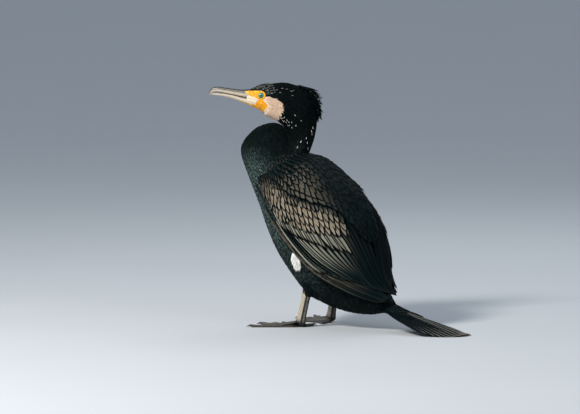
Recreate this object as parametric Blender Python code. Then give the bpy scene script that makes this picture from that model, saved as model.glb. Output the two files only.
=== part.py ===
"""A great cormorant at rest on flat ground, life size, as a still model for a museum.

Units are metres. +Z is up, the breast faces -Y and the bird's left is +X. The soles of the
feet and the tip of the tail lie on z = 0. Every named piece is one closed solid, and pieces
that grow from each other stand GAP apart.

Places on the trunk and the folded wings are given as (station, turn): the station counts the
rows of TRUNK or WING from the crop to the tail, and the turn is in degrees round the body
from the middle of the back, positive to the bird's left.
"""

import math
from typing import NamedTuple

import bmesh
import bpy
import numpy as np
from mathutils import Matrix, Vector

# ---------------------------------------------------------------- driving sizes

GAP = 0.0003  # between neighbouring pieces
UP = Vector((0, 0, 1))
LEFT = Vector((1, 0, 0))

EYE_HEIGHT = 0.3805
EYE_AHEAD = 0.0600  # of the axis that the head turns on
HEAD_AXIS = Vector((0, -0.1080, 0))
HEAD_TURN = math.radians(35)  # to the bird's left
EYE_RADIUS = 0.0060
EYE_OUT = 0.0128  # of the eyeball's middle from the head's mid plane
LID_RADIUS = 0.0056
LID_THICKNESS = 0.0013
LID_OUT = 0.0166  # of the lids' ring from the mid plane
LID_LEAN = 0.30  # of the ring towards the bill, as the cheeks narrow

TARSUS_FOOT = Vector((0.0440, -0.0705, 0.0090))  # the joint above the toes, on the left
TARSUS_HEEL = Vector((0.0410, -0.0585, 0.0640))
THIGH_TOP = Vector((0.0340, -0.0435, 0.1180))
ANKLE_STUB = ((0, 1.22), (0.003, 1.35), (0.0065, 1.2))  # (drop, share of the shank's width)
THIGH_LIFT = 0.0110  # of the end of the thigh's feathers below the heel
# Half width and half depth of the feathered thigh, from the top down.
THIGH_SIZES = (
    (0.0240, 0.0340), (0.0230, 0.0320), (0.0210, 0.0280), (0.0180, 0.0230),
    (0.0150, 0.0180), (0.0125, 0.0145), (0.0100, 0.0120), (0.0075, 0.0100),
)
SHANK_WIDTH = 0.0088
SHANK_DEPTH = 0.0140
WEB_THICKNESS = 0.0014

CREST_STATIONS = (4.6, 4.9, 5.2, 5.5, 5.75)  # of NECK, where the nape's loose feathers root
CREST_LENGTH = 0.0210
CREST_SHARES = (0, 0.45, 1)  # of a lock's length
CREST_WIDTH = 0.0030  # half, at the root, as is the depth
CREST_DEPTH = 0.0020
CREST_POINT = 0.0003
CREST_LIFT = (-0.0022, 0.0019, 0.0048)  # off the nape, at their roots, middles and tips

TAIL_ROOT = Vector((0, 0.0715, 0.0400))
TAIL_LENGTH = 0.1580  # from the root to the tip of the middle pair
TAIL_WEDGE = 0.30  # how much shorter the outermost feathers are
TAIL_ROOT_SIDE = (0.003, 0.011)  # of the roots from the middle line, and the spread of that
TAIL_LAYER = 0.0011  # of each pair over the next
TAIL_VANE = 0.0085  # half width
TAIL_SHARES = (0, 0.3, 0.7, 0.93, 1)
TAIL_FEATHERS = 14
TAIL_SPREAD = math.radians(15)  # of the outermost pair, from the middle line
# The coverts round the tail's root, as (distance behind it, half width, half depth).
TAIL_COVERTS = (
    (-0.0250, 0.0150, 0.0120), (0.0000, 0.0165, 0.0105), (0.0200, 0.0180, 0.0078),
    (0.0420, 0.0190, 0.0045), (0.0620, 0.0190, 0.0016),
)
TAIL_FLOOR_PAIR = 2  # counted from the middle: the pair whose tips lie on the ground

TRUNK_SIDES = 26  # points round a section
HEAD_SIDES = 24
BILL_SIDES = 16
DOME_POWER = 0.42  # how full the top of the crop is
SHARP = math.radians(40)  # edges between faces that turn more than this stay sharp

VANE_THICKNESS = 0.0008
QUILL_RISE = 0.0004  # of a vane's middle above its edges
CORE_DEPTH = 0.0034  # of a wing's core below the lie of its feathers
VANE_TILT = 0.11  # of one edge over the next feather, as a share of the half width
VANE_SHARES = (0, 0.34, 0.74, 1)  # of its length, where a wing feather has its sections
ROOT_DEPTH = 0.0030  # of a feather's root in the core

HEAD_END = 6.4  # the station of NECK where the head is parted from the neck
CROP_END = 1.6  # the station of TRUNK where the lower neck is parted from the torso


class Section(NamedTuple):
    """A cross-section of a body: its middle, half width, and reach above and below."""

    middle: tuple
    side: float
    up: float
    down: float


# From the top of the crop, down the breast and back, to the root of the tail.
TRUNK = (
    Section((0.008, -0.1665, 0.3300), 0.034, 0.036, 0.040),
    Section((0.008, -0.1685, 0.2950), 0.039, 0.054, 0.045),
    Section((0.004, -0.1485, 0.2650), 0.047, 0.056, 0.054),
    Section((0.000, -0.1185, 0.2350), 0.060, 0.069, 0.069),
    Section((0.000, -0.0915, 0.2020), 0.068, 0.078, 0.081),
    Section((0.000, -0.0665, 0.1700), 0.073, 0.081, 0.087),
    Section((0.000, -0.0425, 0.1400), 0.074, 0.080, 0.087),
    Section((0.000, -0.0195, 0.1120), 0.070, 0.074, 0.084),
    Section((0.000, 0.0015, 0.0900), 0.061, 0.062, 0.073),
    Section((0.000, 0.0215, 0.0720), 0.049, 0.048, 0.058),
    Section((0.000, 0.0385, 0.0580), 0.037, 0.036, 0.043),
    Section((0.000, 0.0585, 0.0480), 0.027, 0.022, 0.029),
    Section((0.000, 0.0775, 0.0400), 0.0180, 0.0105, 0.0120),
)

# Rise above level, in degrees, of the way from the spine to the back, at each station.
BACK_RISE = (20, 17, 25, 35, 38, 38, 40, 44, 47, 51, 55, 60, 66, 70)

# The lie of the folded wings over the trunk, from the same first station to their tips.
WING = (
    Section((0.008, -0.1625, 0.3310), 0.032, 0.038, 0.036),
    Section((0.008, -0.1685, 0.2900), 0.040, 0.058, 0.046),
    Section((0.004, -0.1485, 0.2650), 0.051, 0.058, 0.056),
    Section((0.000, -0.1185, 0.2350), 0.066, 0.072, 0.073),
    Section((0.000, -0.0915, 0.2020), 0.077, 0.083, 0.085),
    Section((0.000, -0.0665, 0.1700), 0.083, 0.091, 0.090),
    Section((0.000, -0.0425, 0.1400), 0.085, 0.094, 0.090),
    Section((0.000, -0.0195, 0.1120), 0.083, 0.092, 0.086),
    Section((0.000, 0.0015, 0.0900), 0.075, 0.082, 0.075),
    Section((0.000, 0.0215, 0.0720), 0.062, 0.067, 0.060),
    Section((0.000, 0.0385, 0.0580), 0.050, 0.052, 0.045),
    Section((0.000, 0.0585, 0.0480), 0.038, 0.038, 0.030),
    Section((0.000, 0.0775, 0.0410), 0.029, 0.028, 0.016),
    Section((0.000, 0.0975, 0.0350), 0.020, 0.019, 0.010),
)

# In the mid plane of the head, as (ahead of the eye, above the eye).
NECK = (
    Section((0.0190, -0.0035), 0.0095, 0.0140, 0.0150),
    Section((0.0000, -0.0047), 0.0170, 0.0230, 0.0230),
    Section((-0.0140, -0.0080), 0.0205, 0.0285, 0.0285),
    Section((-0.0310, -0.0110), 0.0230, 0.0335, 0.0335),
    Section((-0.0475, -0.0170), 0.0245, 0.0360, 0.0360),
    Section((-0.0610, -0.0260), 0.0250, 0.0375, 0.0375),
    Section((-0.0680, -0.0410), 0.0250, 0.0330, 0.0330),
    Section((-0.0700, -0.0570), 0.0245, 0.0270, 0.0280),
    Section((-0.0680, -0.0740), 0.0240, 0.0240, 0.0250),
    Section((-0.0620, -0.0920), 0.0250, 0.0230, 0.0260),
    Section((-0.0520, -0.1120), 0.0260, 0.0240, 0.0260),
)

NECK_RISE = (90, 90, 80, 78, 66, 56, 42, 28, 18, 12, 8)  # as BACK_RISE, in the head's plane

UPPER_BILL = (
    Section((0.0170, 0.0024), 0.0084, 0.0080, 0.0085),
    Section((0.0270, 0.0022), 0.0074, 0.0065, 0.0066),
    Section((0.0420, 0.0042), 0.0058, 0.0054, 0.0055),
    Section((0.0560, 0.0067), 0.0048, 0.0050, 0.0049),
    Section((0.0690, 0.0089), 0.0043, 0.0047, 0.0045),
    Section((0.0770, 0.0086), 0.0038, 0.0041, 0.0042),
    Section((0.0820, 0.0058), 0.0029, 0.0033, 0.0030),
    Section((0.0848, 0.0018), 0.0017, 0.0020, 0.0016),
    Section((0.0862, -0.0018), 0.0006, 0.0006, 0.0006),
)

LOWER_BILL = (
    Section((0.0120, -0.0140), 0.0086, 0.0070, 0.0085),
    Section((0.0196, -0.0115), 0.0078, 0.0050, 0.0058),
    Section((0.0330, -0.0073), 0.0062, 0.0042, 0.0042),
    Section((0.0470, -0.0031), 0.0049, 0.0033, 0.0033),
    Section((0.0620, -0.0002), 0.0041, 0.0026, 0.0027),
    Section((0.0760, 0.0014), 0.0033, 0.0020, 0.0020),
    Section((0.0815, 0.0012), 0.0018, 0.0010, 0.0012),
)

FURROW = (0.9, 4.2)  # stations of UPPER_BILL
FURROW_DEPTH = 0.0006
GROOVE_HEIGHT = 0.0012
GROOVE_DEPTH = 0.0012
# The corner of the mouth, which runs back from the bill to below the eye.
GAPE = ((0.0220, -0.0062), (0.0100, -0.0088), (0.0000, -0.0115), (-0.0083, -0.0149))


class Row(NamedTuple):
    """A row of wing feathers, given by its first, middle and last feather.

    Widths are near the root and near the tip, and so are the heights over the wing's lie."""

    count: int
    roots: tuple
    tips: tuple
    widths: tuple
    heights: tuple


PRIMARIES = Row(
    4, ((5.0, 106), (6.2, 97), (7.2, 89)), ((10.0, 88), (11.6, 74), (13.0, 42)),
    (0.0070, 0.0075), (-0.0022, -0.0006),
)
SECONDARIES = Row(
    5, ((4.4, 106), (5.8, 86), (7.0, 53)), ((7.6, 85), (9.2, 71), (10.6, 52)),
    (0.0120, 0.0066), (-0.0022, 0.0006),
)
TERTIALS = Row(
    3, ((6.2, 47), (6.3, 36), (6.4, 25)), ((10.6, 46), (11.6, 38), (12.4, 30)),
    (0.0170, 0.0100), (-0.0016, 0.0014),
)
GREATER_COVERTS = Row(
    5, ((3.7, 109), (5.1, 84), (6.4, 49)), ((5.0, 97), (6.4, 74), (8.2, 47)),
    (0.0125, 0.0100), (-0.0010, 0.0016),
)
MEDIAN_COVERTS = Row(
    5, ((3.1, 111), (4.4, 84), (5.7, 47)), ((4.2, 102), (5.5, 75), (7.0, 42)),
    (0.0165, 0.0150), (-0.0013, 0.0017),
)
LESSER_COVERTS = Row(
    4, ((2.6, 110), (3.7, 82), (4.9, 46)), ((3.6, 104), (4.7, 72), (6.0, 41)),
    (0.0215, 0.0200), (-0.0016, 0.0018),
)
LONG_SCAPULARS = Row(
    3, ((4.2, 52), (4.8, 38), (5.8, 27)), ((5.6, 39), (6.8, 33), (8.2, 27)),
    (0.0180, 0.0110), (-0.0004, 0.0022),
)
SCAPULARS = Row(
    4, ((3.2, 67), (3.8, 46), (4.8, 25)), ((4.4, 56), (5.2, 41), (6.4, 25)),
    (0.0190, 0.0170), (-0.0002, 0.0025),
)
SHOULDER_SCAPULARS = Row(
    3, ((2.5, 75), (3.1, 53), (3.9, 26)), ((3.5, 68), (4.2, 47), (5.2, 25)),
    (0.0290, 0.0260), (0.0, 0.0028),
)
WING_ROWS = (
    PRIMARIES, SECONDARIES, TERTIALS, GREATER_COVERTS, MEDIAN_COVERTS, LESSER_COVERTS,
    LONG_SCAPULARS, SCAPULARS, SHOULDER_SCAPULARS,
)
WING_LOW_EDGE = ((2.3, 106), (3.0, 114), (4.0, 110), (5.5, 103), (7.5, 93), (9.5, 86), (13, 60))
PARTING = ((2.3, 4), (3.3, 6), (5.0, 14), (9.5, 16), (13, 20))  # between the two wings
SHOULDER_END = 4.6  # the station where the wing's root leaves the trunk
SHOULDER_SINK = 0.0040  # of the wing's root in the trunk
WING_CLEARANCE = 0.0013  # from there back
CORE_START = 2.5  # the station of the core's top edge at the wrist
CORE_END = 12.6
CORE_ROWS, CORE_STEPS = 5, 12
CORE_LEAST = 0.0015  # its least thickness
WING_THICKNESS = ((2.4, 0.006), (3.2, 0.020), (9.0, 0.020), (12.6, 0.0025))
RIGHT_WING_ROLL = 2  # the right wing's turns are set back by this many partings

class Toe(NamedTuple):
    """A toe: its turn out from straight ahead, and its sizes."""

    turn: float
    length: float
    width: float
    height: float
    claw: float
    joints: int


TOES = {
    "hind": Toe(math.radians(-98), 0.030, 0.0070, 0.0062, 0.009, 1),
    "inner": Toe(math.radians(-22), 0.050, 0.0076, 0.0066, 0.010, 2),
    "middle": Toe(math.radians(8), 0.070, 0.0080, 0.0070, 0.012, 3),
    "outer": Toe(math.radians(36), 0.080, 0.0076, 0.0066, 0.010, 4),
}
WEB_REACH = 0.80  # of the webs' free edges between the toes, as a share of the toes' lengths
WEB_HEIGHT = 0.0022
ANKLE_RADIUS = 0.0060
ANKLE_SINK = 0.0040
ANKLE_REACH = 0.45  # of the toes' lengths, over which they rise to the ankle
TOE_TAPER = 0.0012
TOE_RISE = 0.0030  # of the toes at the ankle
TOE_EDGE = 0.4  # height of a toe's edges, as a share of its middle's
CLAW_POINT = 0.0003
FOOT_SHARES = (0, 0.15, 0.3, 0.45, 0.65, 0.85, 1)

FINISHES = {
    # name: (colour, roughness)
    "plumage": ((0.010, 0.014, 0.016), 0.42),
    "wing": ((0.110, 0.085, 0.062), 0.50),
    "tail": ((0.020, 0.022, 0.024), 0.50),
    "horn": ((0.470, 0.420, 0.300), 0.38),
    "eye": ((0.010, 0.120, 0.110), 0.08),
    "leg": ((0.035, 0.033, 0.030), 0.45),
    "foot": ((0.018, 0.018, 0.018), 0.50),
    "claw": ((0.012, 0.011, 0.010), 0.35),
}


# ---------------------------------------------------------------- curves and surfaces


def smooth_through(values):
    """A function of station number that passes smoothly through these rows of values."""
    rows = np.asarray(values, float)
    rise = np.diff(rows, axis=0)
    slope = np.concatenate([rise[:1], (rise[:-1] + rise[1:]) / 2, rise[-1:]])

    def at(station):
        place = min(max(station, 0.0), len(rows) - 1.0)
        i = min(int(place), len(rows) - 2)
        f = place - i
        start = (1 + 2 * f) * (1 - f) ** 2 * rows[i] + f * (1 - f) ** 2 * slope[i]
        return start + f * f * (3 - 2 * f) * rows[i + 1] + f * f * (f - 1) * slope[i + 1]

    return at


def along_line(pairs, place):
    """The value at a place on a line given as (place, value) pairs."""
    return float(np.interp(place, [p[0] for p in pairs], [p[1] for p in pairs]))


def body_surface(sections, to_world, side, rise=None):
    """A skin: a function of station, turn in radians and height above the skin.

    Its sections stand square to its middle line, or lean back by the given rise in degrees."""
    rise_at = smooth_through(rise) if rise else None
    behind = UP.cross(side)
    at = smooth_through([(*s.middle, s.side, s.up, s.down) for s in sections])
    size = len(sections[0].middle)

    def middle(station):
        return to_world(at(station)[:size])

    def point(station, turn, height=0.0):
        wide, up, down = at(station)[size:]
        if rise_at:
            angle = math.radians(float(rise_at(station)))
            back = behind * math.cos(angle) + UP * math.sin(angle)
        else:
            last = len(sections) - 1
            ahead = middle(min(station + 0.1, last)) - middle(max(station - 0.1, 0))
            back = side.cross(ahead).normalized()
        reach = up if math.cos(turn) > 0 else down
        across = side * (wide + height) * math.sin(turn)
        return middle(station) + across + back * (reach + height) * math.cos(turn)

    return point


def head_frame():
    """Forward and left of the head, and the point between the eyes."""
    forward = Vector((math.sin(HEAD_TURN), -math.cos(HEAD_TURN), 0))
    eye = HEAD_AXIS + forward * EYE_AHEAD + UP * EYE_HEIGHT
    return forward, UP.cross(forward), eye


def head_point(ahead, above, out=0.0):
    """A place on the head, from the point between the eyes."""
    forward, left, eye = head_frame()
    return eye + forward * ahead + UP * above + left * out


def head_surface(sections, rise=None):
    """The skin through sections given in the mid plane of the head."""
    return body_surface(sections, lambda m: head_point(m[0], m[1]), head_frame()[1], rise)


def trunk_surface(sections):
    """The skin through sections of the trunk or of the folded wings."""
    return body_surface(sections, Vector, LEFT, BACK_RISE)


# ---------------------------------------------------------------- meshes


def new_object(name, mesh):
    """A mesh object in the scene."""
    obj = bpy.data.objects.new(name, mesh)
    bpy.context.scene.collection.objects.link(obj)
    return obj


def solid(name, points, faces):
    """A mesh object with these points, its faces turned outward."""
    mesh = bpy.data.meshes.new(name)
    mesh.from_pydata([tuple(p) for p in points], [], [tuple(f) for f in faces])
    shape = bmesh.new()
    shape.from_mesh(mesh)
    bmesh.ops.recalc_face_normals(shape, faces=shape.faces)
    bmesh.ops.triangulate(shape, faces=shape.faces)
    shape.to_mesh(mesh)
    shape.free()
    return new_object(name, mesh)


def loft(name, rings):
    """A closed solid through rings of points, with a flat cap at each end."""
    count = len(rings[0])
    points = [p for ring in rings for p in ring]
    faces = []
    for start in range(0, len(points) - count, count):
        for k in range(count):
            a, b = start + k, start + (k + 1) % count
            faces.append((a, b, b + count, a + count))
    faces.append(range(count))
    faces.append(range(len(points) - count, len(points)))
    return solid(name, points, faces)


def surface_loft(name, surface, stations, count, parted=False, furrow=None):
    """A loft round a surface. A parted one starts the gap beyond its first section.

    A furrow is a function of station and turn that gives the height over the surface."""
    rings = []
    for station in stations:
        turns = [2 * math.pi * k / count for k in range(count)]
        depths = [furrow(station, turn) if furrow else 0.0 for turn in turns]
        rings.append([surface(station, turn, depth) for turn, depth in zip(turns, depths)])
    if parted:
        first, second = rings[0], rings[1]
        across = (first[count // 4] - first[0]).cross(first[count // 2] - first[0]).normalized()
        ahead = across if across.dot(second[0] - first[0]) > 0 else -across
        rings[0] = [point + ahead * GAP for point in first]
    return loft(name, rings)


def domed(surface, length):
    """The same skin, closed to a dome over the first part of its length."""

    def point(station, turn, height=0.0):
        middle = (surface(station, 0) + surface(station, math.pi)) / 2
        share = max(1 - (1 - min(station / length, 1)) ** 2, 0.0) ** DOME_POWER
        return middle.lerp(surface(station, turn, height), max(share, 0.03))

    return point


def volume_of(mesh):
    """The volume inside a mesh, or 0 where it isn't closed."""
    shape = bmesh.new()
    shape.from_mesh(mesh)
    closed = all(edge.is_manifold for edge in shape.edges)
    volume = shape.calc_volume(signed=True) if closed else 0.0
    shape.free()
    return volume


def tidy(mesh):
    """Keeps only the largest closed surface of a mesh, as triangles."""
    shape = bmesh.new()
    shape.from_mesh(mesh)
    left = set(shape.faces)
    pieces = []
    while left:
        piece, reached = [], [left.pop()]
        while reached:
            face = reached.pop()
            piece.append(face)
            near = {f for e in face.edges for f in e.link_faces} & left
            left -= near
            reached.extend(near)
        pieces.append(piece)
    for piece in sorted(pieces, key=len)[:-1]:
        bmesh.ops.delete(shape, geom=piece, context="FACES")
    loose = [v for v in shape.verts if not v.link_faces]
    bmesh.ops.delete(shape, geom=loose, context="VERTS")
    bmesh.ops.triangulate(shape, faces=shape.faces)
    shape.to_mesh(mesh)
    shape.free()


def combine(obj, others, operation):
    """Joins the others to an object or cuts them from it, and removes them.

    The exact solver works it out, and the manifold one where that gives no true solid."""
    group = bpy.data.collections.new(operation)
    for other in others:
        group.objects.link(other)
    own, theirs = volume_of(obj.data), sum(volume_of(other.data) for other in others)
    sizes = (own, own + theirs) if operation == "UNION" else (own - theirs, own)
    modifier = obj.modifiers.new(operation, "BOOLEAN")
    modifier.operation = operation
    modifier.operand_type = "COLLECTION"
    modifier.collection = group
    for solver in ("EXACT", "MANIFOLD"):
        modifier.solver = solver
        graph = bpy.context.evaluated_depsgraph_get()
        mesh = bpy.data.meshes.new_from_object(obj.evaluated_get(graph))
        tidy(mesh)
        if max(sizes[0], 0) * 0.999 < volume_of(mesh) < sizes[1] * 1.001:
            break
    else:
        raise ValueError("no solid from the %s of %s" % (operation, obj.name))
    obj.modifiers.clear()
    obj.data = mesh
    for other in others:
        bpy.data.objects.remove(other)
    bpy.data.collections.remove(group)
    return obj


def swollen(obj):
    """A copy of an object with its faces moved out by the gap."""
    shape = bmesh.new()
    shape.from_mesh(obj.data)
    shape.normal_update()
    moves = [(v, v.normal * GAP * min(v.calc_shell_factor(), 2.5)) for v in shape.verts]
    for vert, move in moves:
        vert.co += move
    mesh = bpy.data.meshes.new("swollen")
    shape.to_mesh(mesh)
    shape.free()
    return new_object("swollen", mesh)


def fit_against(obj, neighbours):
    """Cuts an object back until it stands the gap clear of its neighbours."""
    for neighbour in neighbours:
        combine(obj, [swollen(neighbour)], "DIFFERENCE")
    return obj


def ball(name, middle, axis, radius):
    """A sphere with its poles on an axis."""
    shape = bmesh.new()
    turn = axis.to_track_quat("Z", "Y").to_matrix().to_4x4()
    place = Matrix.Translation(middle) @ turn
    bmesh.ops.create_uvsphere(shape, u_segments=16, v_segments=8, radius=radius, matrix=place)
    bmesh.ops.triangulate(shape, faces=shape.faces)
    mesh = bpy.data.meshes.new(name)
    shape.to_mesh(mesh)
    shape.free()
    return new_object(name, mesh)


def torus(name, middle, axis, radius, thickness, count=12):
    """A ring round an axis, four-sided in section."""
    first = axis.orthogonal().normalized()
    second = axis.cross(first)
    points = []
    for i in range(count):
        turn = 2 * math.pi * i / count
        out = first * math.cos(turn) + second * math.sin(turn)
        for across, along in ((1, 0), (0, 1), (-1, 0), (0, -1)):
            points.append(middle + out * (radius + thickness * across) + axis * thickness * along)
    faces = []
    for i in range(count):
        for k in range(4):
            a, b = i * 4 + k, i * 4 + (k + 1) % 4
            c, d = (b + 4) % len(points), (a + 4) % len(points)
            faces.append((a, b, c, d))
    return solid(name, points, faces)


def tapered_tube(name, path, sizes, count, side):
    """A round loft along a path; sizes are (half width, half depth) at each point."""
    rings = []
    for i, (middle, (wide, deep)) in enumerate(zip(path, sizes)):
        ahead = (path[min(i + 1, len(path) - 1)] - path[max(i - 1, 0)]).normalized()
        over = side.cross(ahead).normalized()
        across = over.cross(ahead).normalized()
        turns = [2 * math.pi * (k + 0.5) / count for k in range(count)]
        rings.append(
            [middle + across * wide * math.sin(t) + over * deep * math.cos(t) for t in turns]
        )
    return loft(name, rings)


# ---------------------------------------------------------------- feathers


def vane(path, widths, tilt=0.0):
    """One feather. path holds (middle, normal) from root to tip, widths its half widths.

    The tilt raises one edge over the next feather and sinks the other below the last."""
    rings = []
    for i, ((middle, normal), wide) in enumerate(zip(path, widths)):
        ahead = path[min(i + 1, len(path) - 1)][0] - path[max(i - 1, 0)][0]
        across = ahead.cross(normal).normalized() * wide
        lean = normal * tilt * wide
        under = normal * VANE_THICKNESS
        left, right = middle - across - lean, middle + across + lean
        ridge = middle + normal * QUILL_RISE
        rings.append([left, ridge, right, right - under, left - under])
    return loft("vane", rings)


def on_curve(points, share):
    """A point on the parabola through the first, middle and last of three points."""
    first, middle, last = (Vector(point) for point in points)
    rest = 1 - share
    return first * rest * (rest - share) + middle * 4 * share * rest + last * share * (share - rest)


def wing_chart(side):
    """The lie of one wing: a function of station, turn in degrees and height to (point, normal)."""
    surface = trunk_surface(WING)

    def place(station, degrees, height=0.0):
        turn = math.radians(degrees)
        point = surface(station, turn, height)
        along = surface(min(station + 0.2, 13), turn) - surface(max(station - 0.2, 0), turn)
        round_body = surface(station, turn + 0.05) - surface(station, turn - 0.05)
        return point, round_body.cross(along).normalized()

    def chart(station, degrees, height=0.0):
        if side < 0:
            degrees = RIGHT_WING_ROLL * along_line(PARTING, station) - degrees
        point, normal = place(station, degrees)
        return point + normal * height, normal

    return chart


def rounded_tip(share, start, power):
    """The width left at a share of a feather's length, rounded off from the start on."""
    beyond = max(share - start, 0) / (1 - start)
    return math.sqrt(max(1 - beyond**power, 0.03))


def wing_vanes(chart, row, side):
    """The feathers of one row, each from its root in the core to its raised tip."""
    low, high = row.heights
    vanes = []
    for i in range(row.count):
        root = on_curve(row.roots, i / (row.count - 1))
        tip = on_curve(row.tips, i / (row.count - 1))
        path, widths = [], []
        for share in VANE_SHARES:
            station, turn = root.lerp(tip, share)
            height = low + (high - low) * share if share else -CORE_DEPTH - ROOT_DEPTH
            path.append(chart(station, turn, height))
            half = (row.widths[0] + (row.widths[1] - row.widths[0]) * share) / 2
            narrow = min(0.7 + 0.6 * share, 1)
            widths.append(half * narrow * rounded_tip(share, 0.5, 3))
        vanes.append(vane(path, widths, tilt=-VANE_TILT * side))
    return vanes


def wing_core(chart, side):
    """The arm and hand under the feathers: rooted in the shoulder, clear of the flank behind."""
    trunk = trunk_surface(TRUNK)
    outer, inner = [], []
    for row in range(CORE_ROWS + 1):
        share = row / CORE_ROWS
        first = CORE_START + (1 - share) ** 2
        for station in np.linspace(first, CORE_END, CORE_STEPS + 1):
            parting = along_line(PARTING, station)
            turn = parting + 2 + (along_line(WING_LOW_EDGE, station) - parting - 5) * share
            top, normal = chart(station, turn, -CORE_DEPTH)
            if side < 0:
                turn = RIGHT_WING_ROLL * parting - turn
            height = -SHOULDER_SINK if station < SHOULDER_END else WING_CLEARANCE
            below = trunk(station, math.radians(turn), height)
            thick = min((top - below).dot(normal), along_line(WING_THICKNESS, station))
            outer.append(top)
            inner.append(top - normal * max(thick, CORE_LEAST))
    return slab("core", outer, inner, CORE_ROWS, CORE_STEPS)


def slab(name, outer, inner, across, along):
    """A closed solid between two grids of (across + 1) rows of (along + 1) points."""
    row, size = along + 1, (across + 1) * (along + 1)
    faces = []
    for j in range(across):
        for i in range(along):
            a = j * row + i
            face = (a, a + 1, a + row + 1, a + row)
            faces += [face, tuple(size + k for k in reversed(face))]
    edge = list(range(row))
    edge += [j * row + along for j in range(1, across + 1)]
    edge += [across * row + i for i in range(along - 1, -1, -1)]
    edge += [j * row for j in range(across - 1, 0, -1)]
    for a, b in zip(edge, edge[1:] + edge[:1]):
        faces.append((a, b, b + size, a + size))
    return solid(name, outer + inner, faces)


def make_wing(name, side):
    """One folded wing: its core, with every row of feathers joined to it."""
    chart = wing_chart(side)
    wing = wing_core(chart, side)
    vanes = [v for row in WING_ROWS for v in wing_vanes(chart, row, side)]
    combine(wing, vanes, "UNION")
    wing.name = name
    return wing


# ---------------------------------------------------------------- head and neck


def make_head(neck_lower):
    """The skull, nape and upper throat, with eye rings, sockets, gape and loose nape feathers."""
    surface = head_surface(NECK, NECK_RISE)
    head = surface_loft("head", surface, np.linspace(0, HEAD_END, 19), HEAD_SIDES)
    forward, left, eye = head_frame()
    additions = [crest_lock(*place) for place in crest_places()]
    for side in (1, -1):
        axis = (left * side + forward * LID_LEAN).normalized()
        middle = eye + left * side * LID_OUT
        additions.append(torus("lid", middle, axis, LID_RADIUS, LID_THICKNESS))
    combine(head, additions, "UNION")
    for side in (1, -1):
        socket = ball("socket", eye + left * side * EYE_OUT, left, EYE_RADIUS + GAP)
        combine(head, [socket, gape_groove(side)], "DIFFERENCE")
    head.name = "head"
    return fit_against(head, [neck_lower])


def gape_groove(side):
    """A thin cutter along the corner of the mouth, just through the skin."""
    surface = head_surface(NECK, NECK_RISE)
    left = head_frame()[1]
    front, eye = NECK[0].middle[0], NECK[1].middle[0]
    rings = []
    for ahead, above in GAPE:
        station = max((front - ahead) / (front - eye), 0.0)
        skin = abs((surface(station, math.pi / 2) - head_point(0, 0)).dot(left))
        near, far = (side * (skin - depth) for depth in (GROOVE_DEPTH * 1.6, -GROOVE_DEPTH * 4))
        half = GROOVE_HEIGHT / 2
        corners = ((near, half / 2), (far, half), (far, -half), (near, -half / 2))
        rings.append([head_point(ahead, above + lift, out) for out, lift in corners])
    return loft("gape", rings)


def crest_places():
    """Roots of the nape's loose feathers, as (station, turn in degrees, length)."""
    places = []
    for i, station in enumerate(CREST_STATIONS):
        for turn in (-20, 0, 20) if i % 2 else (-10, 10):
            places.append((station, turn, CREST_LENGTH + 0.003 * math.sin(2.1 * i + turn)))
    return places


def crest_lock(station, degrees, length):
    """One pointed lock, which lifts off the nape towards its tip."""
    surface = head_surface(NECK, NECK_RISE)
    turn = math.radians(degrees)
    root = surface(station, turn)
    out = (surface(station, turn, 0.01) - root).normalized()
    along = (surface(station + 0.2, turn) - root).normalized()
    side = out.cross(along)
    rings = []
    for share, lift in zip(CREST_SHARES, CREST_LIFT):
        middle = root + along * length * share + out * lift
        wide = side * (CREST_WIDTH * (1 - share) + CREST_POINT)
        deep = out * (CREST_DEPTH * (1 - share) + CREST_POINT)
        rings.append([middle + wide, middle + deep, middle - wide, middle - deep])
    return loft("lock", rings)


def nostril_groove(station, turn):
    """The long furrow on each side of the upper bill, which holds the closed nostrils."""
    on_side = abs(abs(turn - math.pi) - math.radians(112.5)) < 0.1
    return -FURROW_DEPTH if on_side and FURROW[0] < station < FURROW[1] else 0.0


def make_bill(head):
    """Both halves of the bill, a little open, each cut clear of what it grows from."""
    upper_skin, lower_skin = head_surface(UPPER_BILL), head_surface(LOWER_BILL)
    stations = np.linspace(0, len(UPPER_BILL) - 1, 16)
    upper = surface_loft("bill_upper", upper_skin, stations, BILL_SIDES, furrow=nostril_groove)
    stations = np.linspace(0, len(LOWER_BILL) - 1, 12)
    lower = surface_loft("bill_lower", lower_skin, stations, BILL_SIDES - 4)
    fit_against(upper, [head])
    fit_against(lower, [head, upper])


def make_eyes():
    """The two eyeballs."""
    forward, left, eye = head_frame()
    for name, side in (("eye_left", 1), ("eye_right", -1)):
        ball(name, eye + left * side * EYE_OUT, left, EYE_RADIUS)


# ---------------------------------------------------------------- legs and tail


def shank_ring(middle, way, wide, deep):
    """Twelve points round the shank, in a plane square to its way."""
    over = way.cross(LEFT).normalized()
    turns = [math.pi * k / 6 for k in range(12)]
    return [middle + LEFT * wide * math.sin(t) + over * deep * math.cos(t) for t in turns]


def make_leg(name, side, torso):
    """The feathered thigh, bare shank, webbed foot and claws of one side."""

    def here(place):
        return Vector((place.x * side, place.y, place.z))

    knee, heel, joint = here(THIGH_TOP), here(TARSUS_HEEL), here(TARSUS_FOOT)
    way = (heel - joint).normalized()
    make_foot(name, side, joint, way)
    rings = []
    for share in np.linspace(0, 1, 8):
        swell = (1 + 0.22 * (2 * share - 1) ** 4) / 2
        middle = joint.lerp(heel, share) + way * GAP * (1 - share)
        rings.append(shank_ring(middle, way, SHANK_WIDTH * swell, SHANK_DEPTH * swell))
    shank = fit_against(loft("tarsus_" + name, rings), [torso])
    end = heel - UP * THIGH_LIFT
    path = [knee.lerp(end, share) for share in np.linspace(0, 1, len(THIGH_SIZES))]
    thigh = tapered_tube("thigh_" + name, path, THIGH_SIZES, 14, LEFT)
    fit_against(thigh, [torso, shank])


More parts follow.
